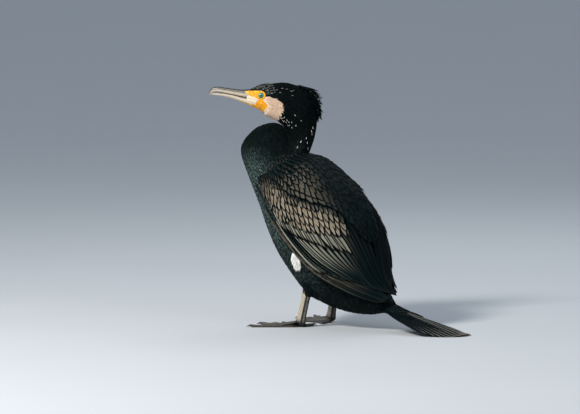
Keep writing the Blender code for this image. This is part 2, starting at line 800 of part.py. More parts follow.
def toe_way(side, key):
    """The way that a toe points, on the floor."""
    turn = TOES[key].turn * side
    return Vector((math.sin(turn), -math.cos(turn), 0))


def toe_height(key, share):
    """Height of the top of a toe, which has a low swelling at each of its joints."""
    toe = TOES[key]
    return (toe.height - 0.0024 * share) * (1 + 0.12 * math.cos(toe.joints * 2 * math.pi * share))


def foot_lines(side, joint):
    """Lines from the ankle forward over the toes and webs, from the inner side to the outer.

    Each is a function of the share of its length, which gives a point of the top."""
    floor = Vector((joint.x, joint.y, 0))

    def toe_line(key, offset, rise):
        toe, ahead = TOES[key], toe_way(side, key)
        across = ahead.cross(UP) * -side

        def line(share):
            half = toe.width / 2 - TOE_TAPER * share
            height = toe_height(key, share) * rise + TOE_RISE * (1 - share) ** 4
            return floor + ahead * toe.length * share + across * half * offset + UP * height

        return line

    def web_line(first, second):
        def line(share):
            near, far = (
                toe_line(key, edge, TOE_EDGE)(share * WEB_REACH)
                for key, edge in ((first, 1), (second, -1))
            )
            middle = near.lerp(far, 0.5)
            return Vector((middle.x, middle.y, WEB_HEIGHT + TOE_RISE * (1 - share) ** 4))

        return line

    keys = list(TOES)
    lines = []
    for before, key in zip([None] + keys, keys):
        if before:
            lines.append(web_line(before, key))
        edges = ((-1, TOE_EDGE), (-0.5, 1), (0.5, 1), (1, TOE_EDGE))
        lines += [toe_line(key, offset, rise) for offset, rise in edges]
    return lines


def make_foot(name, side, joint, way):
    """The toes and the webs that join all four, under a stub of the shank."""
    lines = foot_lines(side, joint)
    start_turn, end_turn = TOES["hind"].turn - 0.5, TOES["outer"].turn + 0.5
    top = []
    for turn, line in zip(np.linspace(start_turn, end_turn, len(lines)), lines):
        out = Vector((side * math.sin(turn), -math.cos(turn), 0))
        start = joint + out * ANKLE_RADIUS - UP * ANKLE_SINK
        for share in FOOT_SHARES:
            blend = min(share / ANKLE_REACH, 1)
            top.append(start.lerp(line(share), blend * blend * (3 - 2 * blend)))
    under_web = WEB_HEIGHT - WEB_THICKNESS
    bottom = [Vector((p.x, p.y, under_web if p.z < WEB_HEIGHT + 1e-5 else 0)) for p in top]
    foot = slab("foot_" + name, top, bottom, len(lines) - 1, len(FOOT_SHARES) - 1)
    stub = [
        shank_ring(joint - way * drop, way, SHANK_WIDTH / 2 * grow, SHANK_DEPTH / 2 * grow)
        for drop, grow in ANKLE_STUB
    ]
    combine(foot, [loft("stub", stub)], "UNION")
    for key in TOES:
        make_claw(name, side, key, joint)


def make_claw(name, side, key, joint):
    """A curved claw that grows from the flat end of its toe."""
    ahead, toe = toe_way(side, key), TOES[key]
    across = ahead.cross(UP)
    end = Vector((joint.x, joint.y, 0)) + ahead * (toe.length + GAP)
    height = toe_height(key, 1)
    turns = [math.pi * (k + 0.5) / 3 for k in range(6)]
    rings = []
    for share in np.linspace(0, 1, 5):
        half = height * 0.42 * (1 - share) + CLAW_POINT
        rise = height / 2 + 0.0010 * math.sin(math.pi * share) - 0.0016 * share * share
        middle = end + ahead * toe.claw * share + UP * max(rise, half)
        wide, deep = across * half * 0.8, UP * half
        rings.append([middle + wide * math.sin(t) + deep * math.cos(t) for t in turns])
    loft("claw_%s_%s" % (name, key), rings)


def tail_line(distance):
    """Height of the lowest tail feathers' tops at a distance behind their root."""
    slope = TAIL_ROOT.z / (TAIL_LENGTH - 0.020)
    return max(TAIL_ROOT.z - slope * distance, 0.0) + VANE_THICKNESS


def tail_feather(index):
    """One tail feather; index counts from 1 in the middle, to the left or, below 0, right."""
    pair, side = abs(index) - 1, 1 if index > 0 else -1
    share = pair / (TAIL_FEATHERS // 2 - 1)
    turn = side * (0.015 + TAIL_SPREAD * share)
    length = TAIL_LENGTH * (1 - TAIL_WEDGE * share**1.5)
    root = TAIL_ROOT + LEFT * side * (TAIL_ROOT_SIDE[0] + TAIL_ROOT_SIDE[1] * share)
    ahead = Vector((math.sin(turn), math.cos(turn), 0))
    layer = TAIL_LAYER * (TAIL_FLOOR_PAIR - pair)
    path, widths = [], []
    for s in TAIL_SHARES:
        place = root + ahead * length * s
        place.z = max(tail_line(length * s) + layer, VANE_THICKNESS)
        path.append((place, UP))
        widths.append(TAIL_VANE * min(0.45 + 1.2 * s, 1) * rounded_tip(s, 0, 7))
    return vane(path, widths, tilt=0.05 * side)


def make_tail(torso):
    """The stiff tail feathers, fanned a little, round a root under the coverts."""
    rings = []
    turns = [math.pi * k / 6 for k in range(12)]
    for distance, wide, deep in TAIL_COVERTS:
        middle = Vector((0, TAIL_ROOT.y + distance, tail_line(distance) - deep / 4))
        rings.append([middle + LEFT * wide * math.sin(t) + UP * deep * math.cos(t) for t in turns])
    tail = loft("tail", rings)
    half = TAIL_FEATHERS // 2
    combine(tail, [tail_feather(i) for i in range(-half, half + 1) if i], "UNION")
    tail.name = "tail"
    return fit_against(tail, [torso])


# ---------------------------------------------------------------- assembly


def finish(obj, key):
    """Gives an object its own material, and smooth shading up to its sharp edges."""
    colour, roughness = FINISHES[key]
    material = bpy.data.materials.new(obj.name)
    material.use_nodes = True
    shader = material.node_tree.nodes["Principled BSDF"]
    shader.inputs["Base Color"].default_value = (*colour, 1)
    shader.inputs["Roughness"].default_value = roughness
    shader.inputs["Metallic"].default_value = 0.0
    obj.data.materials.clear()
    obj.data.materials.append(material)
    obj.data.shade_smooth()
    obj.data.set_sharp_from_angle(angle=SHARP)


FINISH_OF = {
    "wing": "wing",
    "tail": "tail",
    "bill": "horn",
    "eye": "eye",
    "tarsus": "leg",
    "foot": "foot",
    "claw": "claw",
}


def main():
    for obj in list(bpy.data.objects):
        bpy.data.objects.remove(obj)
    trunk = domed(trunk_surface(TRUNK), 0.9)
    crop = [0.9 * s * s for s in np.linspace(0, 1, 7)] + [1.15, 1.4, CROP_END]
    neck_lower = surface_loft("neck_lower", trunk, crop, TRUNK_SIDES)
    down_back = np.linspace(CROP_END, len(TRUNK) - 1, 24)
    torso = surface_loft("torso", trunk, down_back, TRUNK_SIDES, parted=True)
    head = make_head(neck_lower)
    make_bill(head)
    make_eyes()
    neck = head_surface(NECK, NECK_RISE)
    down_neck = np.linspace(HEAD_END, len(NECK) - 1, 9)
    neck_upper = surface_loft("neck_upper", neck, down_neck, HEAD_SIDES, parted=True)
    fit_against(neck_upper, [neck_lower, torso])
    tail = make_tail(torso)
    for name, side in (("left", 1), ("right", -1)):
        make_leg(name, side, torso)
        wing = make_wing("wing_" + name, side)
        fit_against(wing, [torso, neck_lower, neck_upper, tail])
    for obj in bpy.context.scene.collection.objects:
        finish(obj, FINISH_OF.get(obj.name.split("_")[0], "plumage"))


main()
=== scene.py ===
"""Looks of a great cormorant, a still life-size model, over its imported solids.

Units are metres. +Z is up, the breast faces -Y and the bird's left is +X. One seamless skin lies
inside the solids of flesh, and every feather is a thin vane of its own that lies over it in tiers.
Places on the trunk and the folded wings are given as (station, turn): the station counts the
sections of TRUNK or WING from the crop to the tail, and the turn is in degrees round the body
from the middle of the back, positive to the bird's left. Places on the head are millimetres
ahead of and above the eye.
"""
from __future__ import annotations

import logging
import math
from dataclasses import dataclass, field
from enum import Enum
from typing import Callable, Sequence

import bmesh
import bpy
import numpy as np
from mathutils import Matrix, Vector
from mathutils.bvhtree import BVHTree

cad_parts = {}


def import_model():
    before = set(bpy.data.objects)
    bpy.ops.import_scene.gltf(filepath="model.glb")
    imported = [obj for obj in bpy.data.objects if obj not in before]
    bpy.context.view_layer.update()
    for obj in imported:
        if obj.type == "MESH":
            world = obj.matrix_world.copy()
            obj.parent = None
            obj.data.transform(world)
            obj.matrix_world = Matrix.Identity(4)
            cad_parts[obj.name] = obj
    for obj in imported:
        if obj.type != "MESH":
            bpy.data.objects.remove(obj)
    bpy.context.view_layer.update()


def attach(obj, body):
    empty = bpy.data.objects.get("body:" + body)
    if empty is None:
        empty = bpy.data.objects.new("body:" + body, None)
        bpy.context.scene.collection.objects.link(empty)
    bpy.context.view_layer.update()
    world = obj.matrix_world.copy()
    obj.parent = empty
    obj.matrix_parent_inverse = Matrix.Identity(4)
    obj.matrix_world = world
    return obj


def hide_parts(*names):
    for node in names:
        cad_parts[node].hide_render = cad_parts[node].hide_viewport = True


Array = np.ndarray
Line = tuple[tuple[float, float], ...]  # (place, value) pairs, or points in a plane
Mesh = bpy.types.Mesh
Material = bpy.types.Material
LOG = logging.getLogger("cormorant")

MM = 0.001
BODY = "root"
SEED = 7
NEAR = 0.05  # stations or radians to either side, between which a way is read
UP = np.array((0.0, 0.0, 1.0))
LEFT = np.array((1.0, 0.0, 0.0))

# ---- sizes shared with the solids

EYE_HEIGHT = 0.3805
EYE_AHEAD = 0.0600
HEAD_AXIS = np.array((0.0, -0.1080, 0.0))
HEAD_TURN = math.radians(35)
EYE_RADIUS = 0.0060
EYE_OUT = 0.0128
TARSUS_FOOT = np.array((0.0440, -0.0705, 0.0090))
TARSUS_HEEL = np.array((0.0410, -0.0585, 0.0640))
THIGH_TOP = np.array((0.0340, -0.0435, 0.1180))
THIGH_LIFT = 0.0110
THIGH_SIZES = (
    (0.0240, 0.0340), (0.0230, 0.0320), (0.0210, 0.0280), (0.0180, 0.0230),
    (0.0150, 0.0180), (0.0125, 0.0145), (0.0100, 0.0120), (0.0075, 0.0100),
)
SHANK_WIDTH = 0.0088
SHANK_DEPTH = 0.0140
TAIL_ROOT = np.array((0.0, 0.0715, 0.0400))
TAIL_LENGTH = 0.1580
TAIL_FEATHERS = 14
TAIL_SPREAD = math.radians(15)
TAIL_WEDGE = 0.30
TAIL_FLOOR_PAIR = 2
TAIL_LAYER = 0.0011
TAIL_FLOOR = 0.0008  # height of the lowest feathers' ends
TAIL_LEVEL = 0.020  # length of the tail that lies level
TAIL_COVERTS = (
    (-0.0250, 0.0150, 0.0120), (0.0000, 0.0165, 0.0105), (0.0200, 0.0180, 0.0078),
    (0.0420, 0.0190, 0.0045), (0.0620, 0.0190, 0.0016),
)
CORE_DEPTH = 0.0034
WING_LOW_EDGE = ((2.3, 106), (3.0, 114), (4.0, 110), (5.5, 103), (7.5, 93), (9.5, 86), (13, 60))
PARTING = ((2.3, 4), (3.3, 6), (5.0, 14), (9.5, 16), (13, 20))
WING_DEPTH = ((2.4, 0.006), (3.2, 0.030), (9.0, 0.030), (11.0, 0.012), (12.6, 0.003))

# Sections: middle (x, y, z), half width, reach above and reach below.
TRUNK = (
    (0.008, -0.1665, 0.3300, 0.034, 0.036, 0.040),
    (0.008, -0.1685, 0.2950, 0.039, 0.054, 0.045),
    (0.004, -0.1485, 0.2650, 0.047, 0.056, 0.054),
    (0.000, -0.1185, 0.2350, 0.060, 0.069, 0.069),
    (0.000, -0.0915, 0.2020, 0.068, 0.078, 0.081),
    (0.000, -0.0665, 0.1700, 0.073, 0.081, 0.087),
    (0.000, -0.0425, 0.1400, 0.074, 0.080, 0.087),
    (0.000, -0.0195, 0.1120, 0.070, 0.074, 0.084),
    (0.000, 0.0015, 0.0900, 0.061, 0.062, 0.073),
    (0.000, 0.0215, 0.0720, 0.049, 0.048, 0.058),
    (0.000, 0.0385, 0.0580, 0.037, 0.036, 0.043),
    (0.000, 0.0585, 0.0480, 0.027, 0.022, 0.029),
    (0.000, 0.0775, 0.0400, 0.018, 0.0105, 0.0120),
)
BACK_RISE = (20, 17, 25, 35, 38, 38, 40, 44, 47, 51, 55, 60, 66, 70)
WING = (
    (0.008, -0.1625, 0.3310, 0.032, 0.038, 0.036),
    (0.008, -0.1685, 0.2900, 0.040, 0.058, 0.046),
    (0.004, -0.1485, 0.2650, 0.051, 0.058, 0.056),
    (0.000, -0.1185, 0.2350, 0.066, 0.072, 0.073),
    (0.000, -0.0915, 0.2020, 0.077, 0.083, 0.085),
    (0.000, -0.0665, 0.1700, 0.083, 0.091, 0.090),
    (0.000, -0.0425, 0.1400, 0.085, 0.094, 0.090),
    (0.000, -0.0195, 0.1120, 0.083, 0.092, 0.086),
    (0.000, 0.0015, 0.0900, 0.075, 0.082, 0.075),
    (0.000, 0.0215, 0.0720, 0.062, 0.067, 0.060),
    (0.000, 0.0385, 0.0580, 0.050, 0.052, 0.045),
    (0.000, 0.0585, 0.0480, 0.038, 0.038, 0.030),
    (0.000, 0.0775, 0.0410, 0.029, 0.028, 0.016),
    (0.000, 0.0975, 0.0350, 0.020, 0.019, 0.010),
)
# Sections in the head's mid plane: ahead of and above the eye, half width, above and below.
NECK = (
    (0.0190, -0.0035, 0.0095, 0.0140, 0.0150),
    (0.0000, -0.0047, 0.0170, 0.0230, 0.0230),
    (-0.0140, -0.0080, 0.0205, 0.0285, 0.0285),
    (-0.0310, -0.0110, 0.0230, 0.0335, 0.0335),
    (-0.0475, -0.0170, 0.0245, 0.0360, 0.0360),
    (-0.0610, -0.0260, 0.0250, 0.0375, 0.0375),
    (-0.0680, -0.0410, 0.0250, 0.0330, 0.0330),
    (-0.0700, -0.0570, 0.0245, 0.0270, 0.0280),
    (-0.0680, -0.0740, 0.0240, 0.0240, 0.0250),
    (-0.0620, -0.0920, 0.0250, 0.0230, 0.0260),
    (-0.0520, -0.1120, 0.0260, 0.0240, 0.0260),
)
NECK_RISE = (90, 90, 80, 78, 66, 56, 42, 28, 18, 12, 8)
UPPER_BILL = (
    (0.0170, 0.0024, 0.0084, 0.0080, 0.0085),
    (0.0270, 0.0022, 0.0074, 0.0065, 0.0066),
    (0.0420, 0.0042, 0.0058, 0.0054, 0.0055),
    (0.0560, 0.0067, 0.0048, 0.0050, 0.0049),
    (0.0690, 0.0089, 0.0043, 0.0047, 0.0045),
    (0.0770, 0.0086, 0.0038, 0.0041, 0.0042),
    (0.0820, 0.0058, 0.0029, 0.0033, 0.0030),
    (0.0848, 0.0018, 0.0017, 0.0020, 0.0016),
    (0.0862, -0.0018, 0.0006, 0.0006, 0.0006),
)
LOWER_BILL = (
    (0.0120, -0.0140, 0.0086, 0.0070, 0.0085),
    (0.0196, -0.0115, 0.0078, 0.0050, 0.0058),
    (0.0330, -0.0073, 0.0062, 0.0042, 0.0042),
    (0.0470, -0.0031, 0.0049, 0.0033, 0.0033),
    (0.0620, -0.0002, 0.0041, 0.0026, 0.0027),
    (0.0760, 0.0014, 0.0033, 0.0020, 0.0020),
    (0.0815, 0.0012, 0.0018, 0.0010, 0.0012),
)

# ---- small sums


def unit(vectors: Array) -> Array:
    """Vectors scaled to length one."""
    return vectors / np.maximum(np.linalg.norm(vectors, axis=-1, keepdims=True), 1e-12)


def laid_flat(way: Array, normal: Array) -> Array:
    """Ways turned to lie flat on surfaces that face along their normals."""
    return unit(way - normal * (way * normal).sum(axis=1, keepdims=True))


def smooth(low: float, high: float, value: Array) -> Array:
    """A smooth step from 0 at low to 1 at high."""
    share = np.clip((value - low) / (high - low), 0, 1)
    return share * share * (3 - 2 * share)


def reached(points: Array) -> Array:
    """How far along a line of points each of them lies."""
    return np.concatenate([[0], np.cumsum(np.linalg.norm(np.diff(points, axis=0), axis=1))])


def plain_tint(count: int, tone: float) -> Array:
    """The three values of plain dark feathers, with so much gloss."""
    return np.tile((0.0, tone, 0.0), (count, 1))


def along_line(pairs: Line, place: Array) -> Array:
    """Values at places on a line given as (place, value) pairs."""
    return np.interp(place, [p[0] for p in pairs], [p[1] for p in pairs])


def through(rows: Array, place: Array) -> Array:
    """Rows of values passed smoothly, at places counted in rows.

    Args:
        rows: the values, one row to a station.
        place: where to read them, in any shape.

    Returns:
        The values, with one more axis than place.
    """
    rise = np.diff(rows, axis=0)
    slope = np.concatenate([rise[:1], (rise[:-1] + rise[1:]) / 2, rise[-1:]])
    place = np.clip(np.asarray(place, float), 0, len(rows) - 1)
    i = np.minimum(place.astype(int), len(rows) - 2)
    f = (place - i)[..., None]
    near = (1 + 2 * f) * (1 - f) ** 2 * rows[i] + f * (1 - f) ** 2 * slope[i]
    return near + f * f * (3 - 2 * f) * rows[i + 1] + f * f * (f - 1) * slope[i + 1]


def inside(points: Array, outline: Line) -> Array:
    """Signed distance of points from an outline, positive inside.

    Args:
        points: places in a plane, (n, 2).
        outline: the corners in order.

    Returns:
        One distance for each point.
    """
    corners = np.asarray(outline, float)
    nearest = np.full(len(points), np.inf)
    odd = np.zeros(len(points), bool)
    for a, b in zip(corners, np.roll(corners, -1, axis=0)):
        side = b - a
        share = np.clip((points - a) @ side / (side @ side), 0, 1)
        gap = points - (a + share[:, None] * side)
        nearest = np.minimum(nearest, np.hypot(gap[:, 0], gap[:, 1]))
        crosses = (a[1] > points[:, 1]) != (b[1] > points[:, 1])
        with np.errstate(divide="ignore", invalid="ignore"):
            reach = side[0] * (points[:, 1] - a[1]) / side[1] + a[0]
        odd ^= crosses & (points[:, 0] < reach)
    return np.where(odd, nearest, -nearest)


# ---- surfaces that feathers lie on


@dataclass(frozen=True)
class Lie:
    """A skin through cross-sections, read at a station and a turn.

    The rows hold the middle, half width, reach above and reach below. The rise is that of the
    way from the spine to the back, in degrees. Without one, sections stand square to the middle.
    """

    rows: Array
    across: Array
    rise: Array | None = None
    dome: float = 0.0  # stations over which the front rounds off, or none
    fullness: float = 0.42  # of that dome, fuller the lower
    least: float = 0.03  # size left at its top

    def at(self, station: Array, turn: Array, height: Array | float = 0.0) -> Array:
        """Points of the skin.

        Args:
            station: place along the body, in rows.
            turn: angle from the middle of the back, in radians.
            height: distance over the skin.

        Returns:
            Points, with one more axis than the arguments.
        """
        station, turn, height = np.broadcast_arrays(*map(np.asarray, (station, turn, height)))
        values = through(self.rows, station)
        middle, wide, above, below = values[..., :3], values[..., 3], values[..., 4], values[..., 5]
        if self.rise is None:
            last = len(self.rows) - 1
            ahead = through(self.rows, np.minimum(station + 2 * NEAR, last))[..., :3]
            ahead = ahead - through(self.rows, np.maximum(station - 2 * NEAR, 0))[..., :3]
            back = unit(np.cross(self.across, ahead))
        else:
            angle = np.radians(through(self.rise[:, None], station))
            back = np.cross(UP, self.across) * np.cos(angle) + UP * np.sin(angle)
        reach = np.where(np.cos(turn) > 0, above, below)
        side = self.across * ((wide + height) * np.sin(turn))[..., None]
        point = middle + side + back * ((reach + height) * np.cos(turn))[..., None]
        if self.dome:
            heart = middle + back * ((above - below) / 2)[..., None]
            share = np.clip(station / self.dome, 0, 1)
            share = np.maximum(1 - (1 - share) ** 2, 0) ** self.fullness
            point = heart + (point - heart) * np.maximum(share, self.least)[..., None]
        return point

    def rate(self, station: Array, turn: Array) -> Array:
        """Metres to a station, along the body."""
        step = self.at(station + NEAR, turn) - self.at(station - NEAR, turn)
        return np.linalg.norm(step, axis=-1) / (2 * NEAR)

    def normal(self, station: Array, turn: Array) -> Array:
        """The way out of the skin.

        Args:
            station: place along the body, in rows.
            turn: angle from the middle of the back, in radians.

        Returns:
            A unit vector for each place.
        """
        along = self.at(station + 2 * NEAR, turn) - self.at(station - 2 * NEAR, turn)
        around = self.at(station, turn + NEAR) - self.at(station, turn - NEAR)
        return unit(np.cross(around, along))


@dataclass(frozen=True)
class HeadFrame:
    """The head's own directions: ahead, left and up, from the point between the eyes."""

    ahead: Array = field(default_factory=lambda: np.array((math.sin(HEAD_TURN), -math.cos(HEAD_TURN), 0)))

    @property
    def left(self) -> Array:
        """The way to the head's left."""
        return np.cross(UP, self.ahead)

    @property
    def eye(self) -> Array:
        """The point between the eyes."""
        return HEAD_AXIS + self.ahead * EYE_AHEAD + UP * EYE_HEIGHT

    def place(self, ahead: Array, above: Array, out: Array = 0.0) -> Array:
        """A point from its distances ahead of, above and left of the eyes' middle."""
        ahead, above, out = np.broadcast_arrays(*(np.asarray(v, float) for v in (ahead, above, out)))
        return self.eye + ahead[..., None] * self.ahead + above[..., None] * UP + out[..., None] * self.left

    def local(self, points: Array) -> Array:
        """Distances ahead, above and left of the eyes' middle, in millimetres."""
        away = points - self.eye
        return np.stack([away @ self.ahead, away @ UP, away @ self.left], axis=-1) / MM

    def lie(self, sections: Sequence[tuple[float, ...]], rise: Sequence[float] | None = None) -> Lie:
        """The skin through sections given in the head's mid plane.

        Args:
            sections: ahead of and above the eye, half width, reach above and below.
            rise: degrees of the back's way, or none for square sections.

        Returns:
            The lie, in the frame of the whole bird.
        """
        table = np.asarray(sections)
        rows = np.concatenate([self.place(table[:, 0], table[:, 1]), table[:, 2:]], axis=1)
        return Lie(rows, self.left, None if rise is None else np.asarray(rise, float))


HEAD = HeadFrame()
TRUNK_LIE = Lie(np.asarray(TRUNK), LEFT, np.asarray(BACK_RISE, float), dome=0.9)
WING_LIE = Lie(np.asarray(WING), LEFT, np.asarray(BACK_RISE, float))
NECK_LIE = HEAD.lie(NECK, NECK_RISE)
UPPER_LIE = HEAD.lie(UPPER_BILL)
LOWER_LIE = HEAD.lie(LOWER_BILL)


class Face:
    """The regions of the head, as outlines in millimetres ahead of and above the eye."""

    LORES = ((27, 6), (20, 7.0), (9, 7.6), (0, 7.4), (-3, 3), (-2, -6), (3.6, -7.4), (8.7, -4.2), (20.6, 0.4))
    POUCH = (
        (-1.3, -6.2), (-4.6, -8.3), (-11.6, -17.0), (-8.3, -22.8), (-5.1, -27.9), (-1.3, -28.9),
        (12.5, -25.0), (18.2, -22.0), (37.1, -15.0), (37.1, -8.5), (17.5, -14.3), (10.7, -16.5),
        (8.7, -13.9), (7.4, -10.1), (0.0, -6.6),
    )
    GAPE = ((24, 0.9), (8.7, -3.6), (0.0, -6.2), (7.4, -10.1), (8.7, -13.9), (10.7, -16.5), (24, -12.5))
    CHEEK = (
        (-7.4, -2.4), (-19.1, -3.8), (-28.1, -8.9), (-33.0, -13.9), (-32.3, -26.4), (-26.1, -34.2),
        (-20.8, -43.0), (-5.0, -35.0), (-5.2, -25.2), (-12.4, -17.0), (-4.2, -7.2),
    )
    BORDER = ((-3.8, -6.9), (-12.5, -17.0), (-5.6, -26.4))
    RING = 7.3  # outer radius of the bare ring round the eye
    FIRE = 6.4  # radius of the orange line in it
    EYE = 4.5  # radius of the open eye
    BARE = ((17.5, 60), (-32, np.inf))  # least and most ahead and above of all bare skin in front
    MUZZLE = ((0.0056, 0.50), (0.0046, 0.70), (0.0030, 0.86), (0.0014, 0.955))  # metres ahead, and size

    @classmethod
    def masks(cls, points: Array) -> dict[str, Array]:
        """How far points of the head belong to each region, from 0 to 1.

        Args:
            points: places in metres, (n, 3).

        Returns:
            One value for each point, by the name of the region.
        """
        local = HEAD.local(points)
        flat = local[:, :2]
        ahead = local[:, 0] > -60
        round_eye = np.hypot(local[:, 0], local[:, 1])
        soft = 0.45
        yolk = np.maximum(inside(flat, cls.LORES), inside(flat, cls.POUCH))
        yolk = np.maximum(yolk, cls.RING - round_eye)
        line = np.full(len(flat), np.inf)
        for a, b in zip(cls.BORDER, cls.BORDER[1:]):
            a, b = np.asarray(a), np.asarray(b)
            share = np.clip((flat - a) @ (b - a) / ((b - a) @ (b - a)), 0, 1)
            line = np.minimum(line, np.linalg.norm(flat - a - share[:, None] * (b - a), axis=1))
        masks = {
            "yolk": smooth(-soft, soft, yolk),
            "ring": smooth(cls.RING + 0.5, cls.RING - 1.2, round_eye),
            "fire": smooth(0.75, 0.25, np.abs(round_eye - cls.FIRE)),
            "gape": smooth(-soft, soft, inside(flat, cls.GAPE)),
            "cheek": smooth(-0.8, 0.8, inside(flat, cls.CHEEK)),
            "border": smooth(0.8, 0.2, line),
        }
        return {name: np.where(ahead, mask, 0.0) for name, mask in masks.items()}


# ---- meshes


class Slot(Enum):
    """The record's finishes, one named for each piece."""

    PLUMAGE = "plumage"
    WING = "wing"
    TAIL = "tail"
    HORN = "horn"
    EYE = "eye"
    LEG = "leg"
    FOOT = "foot"
    CLAW = "claw"


def cells(points: Array, around: bool = False) -> Array:
    """Four-sided faces of many grids.

    Args:
        points: the grids, (n, rows, columns, 3).
        around: whether the last column joins the first.

    Returns:
        Corner numbers, four to a face.
    """
    index = np.arange(int(np.prod(points.shape[:3]))).reshape(points.shape[:3])
    if around:
        index = np.concatenate([index, index[:, :, :1]], axis=2)
    corners = (index[:, :-1, :-1], index[:, :-1, 1:], index[:, 1:, 1:], index[:, 1:, :-1])
    return np.stack(corners, axis=-1).reshape(-1, 4)


@dataclass
class Shape:
    """Points and faces, with values at the points that a finish reads."""

    points: Array
    faces: list[Array]
    values: dict[str, Array] = field(default_factory=dict)
    patch: Array | None = None

    @classmethod
    def joined(cls, shapes: Sequence["Shape"]) -> "Shape":
        """Several shapes as one.

        Args:
            shapes: at least one, all with the same values.

        Returns:
            One shape, with their points in that order.
        """
        faces, start = [], 0
        for shape in shapes:
            faces += [face + start for face in shape.faces]
            start += len(shape.points)
        values = {
            name: np.concatenate([shape.values[name] for shape in shapes])
            for name in shapes[0].values
        }
        patch = None
        if shapes[0].patch is not None:
            patch = np.concatenate([shape.patch for shape in shapes])
        return cls(np.concatenate([shape.points for shape in shapes]), faces, values, patch)

    @classmethod
    def tube(cls, rings: Array) -> "Shape":
        """A closed form through rings of points, with a fan of faces at both ends.

        Args:
            rings: points, (rows, columns, 3).

        Returns:
            The closed form.
        """
        rows, columns = rings.shape[:2]
        index = np.arange(rows * columns).reshape(rows, columns)
        ends = np.stack([rings[0].mean(axis=0), rings[-1].mean(axis=0)])
        first, last = rows * columns, rows * columns + 1
        fans = []
        for ring, end in ((index[0][::-1], first), (index[-1], last)):
            fans.append(np.stack([ring, np.roll(ring, -1), np.full(columns, end)], axis=-1))
        points = np.concatenate([rings.reshape(-1, 3), ends])
        return cls(points, [cells(rings[None], around=True), *fans])

    def turned_out(self) -> "Shape":
        """The same closed form, with its faces turned outward.

        Returns:
            This shape.
        """
        heart = self.points.mean(axis=0)
        volume = 0.0
        for face in self.faces:
            corners = self.points[face] - heart
            for k in range(1, face.shape[1] - 1):
                cross = np.cross(corners[:, k], corners[:, k + 1])
                volume += float((corners[:, 0] * cross).sum())
        if volume < 0:
            self.faces = [face[:, ::-1] for face in self.faces]
        return self

    @property
    def triangles(self) -> int:
        """How many triangles the faces make."""
        return sum(len(face) * (face.shape[1] - 2) for face in self.faces)

    def mesh(self, name: str) -> Mesh:
        """The shape as a mesh, with its values as attributes and its patches as OFBake.

        Args:
            name: what the mesh is called.

        Returns:
            The mesh, smooth shaded.
        """
        mesh = bpy.data.meshes.new(name)
        corners = np.concatenate([face.ravel() for face in self.faces]).astype(np.int32)
        sizes = np.concatenate([np.full(len(face), face.shape[1]) for face in self.faces])
        starts = np.concatenate([[0], np.cumsum(sizes)[:-1]]).astype(np.int32)
        mesh.vertices.add(len(self.points))
        mesh.vertices.foreach_set("co", self.points.astype(np.float32).ravel())
        mesh.loops.add(len(corners))
        mesh.loops.foreach_set("vertex_index", corners)
        mesh.polygons.add(len(starts))
        mesh.polygons.foreach_set("loop_start", starts)
        mesh.update(calc_edges=True)
        for key, value in self.values.items():
            kind = "FLOAT_VECTOR" if value.ndim == 2 else "FLOAT"
            target = mesh.attributes.new(key, kind, "POINT").data
            field_name = "vector" if value.ndim == 2 else "value"
            target.foreach_set(field_name, value.astype(np.float32).ravel())
        if self.patch is not None:
            layer = mesh.uv_layers.new(name="OFBake")
            layer.data.foreach_set("uv", self.patch[corners].astype(np.float32).ravel())
        mesh.polygons.foreach_set("use_smooth", np.ones(len(starts), bool))
        mesh.validate()
        return mesh


class Finish:
    """A finish that can dress a piece; each kind of surface has its own."""

    def material(self) -> Material:
        """The finish as a material."""
        raise NotImplementedError


def link(item: bpy.types.Object) -> None:
    """Puts an object in the scene's own collection."""
    bpy.context.scene.collection.objects.link(item)


def put(name: str, mesh: Mesh, finish: Finish, slot: Slot, *nodes: str) -> bpy.types.Object:
    """Puts a piece in the scene.

    Args:
        name: its name.
        mesh: its mesh.
        finish: what it is dressed in.
        slot: the record's finish that it takes; not used.
        nodes: the solids that it stands for.

    Returns:
        The object, riding on the bird.
    """
    piece = bpy.data.objects.new(name, mesh)
    link(piece)
    mesh.materials.append(finish.material())
    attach(piece, BODY)
    if nodes:
        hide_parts(*nodes)
    LOG.info("%s: %d points, %d faces", name, len(mesh.vertices), len(mesh.polygons))
    return piece


MAP_EDGES = (0.0005, 0.9995)  # that no place of the OFBake map goes past


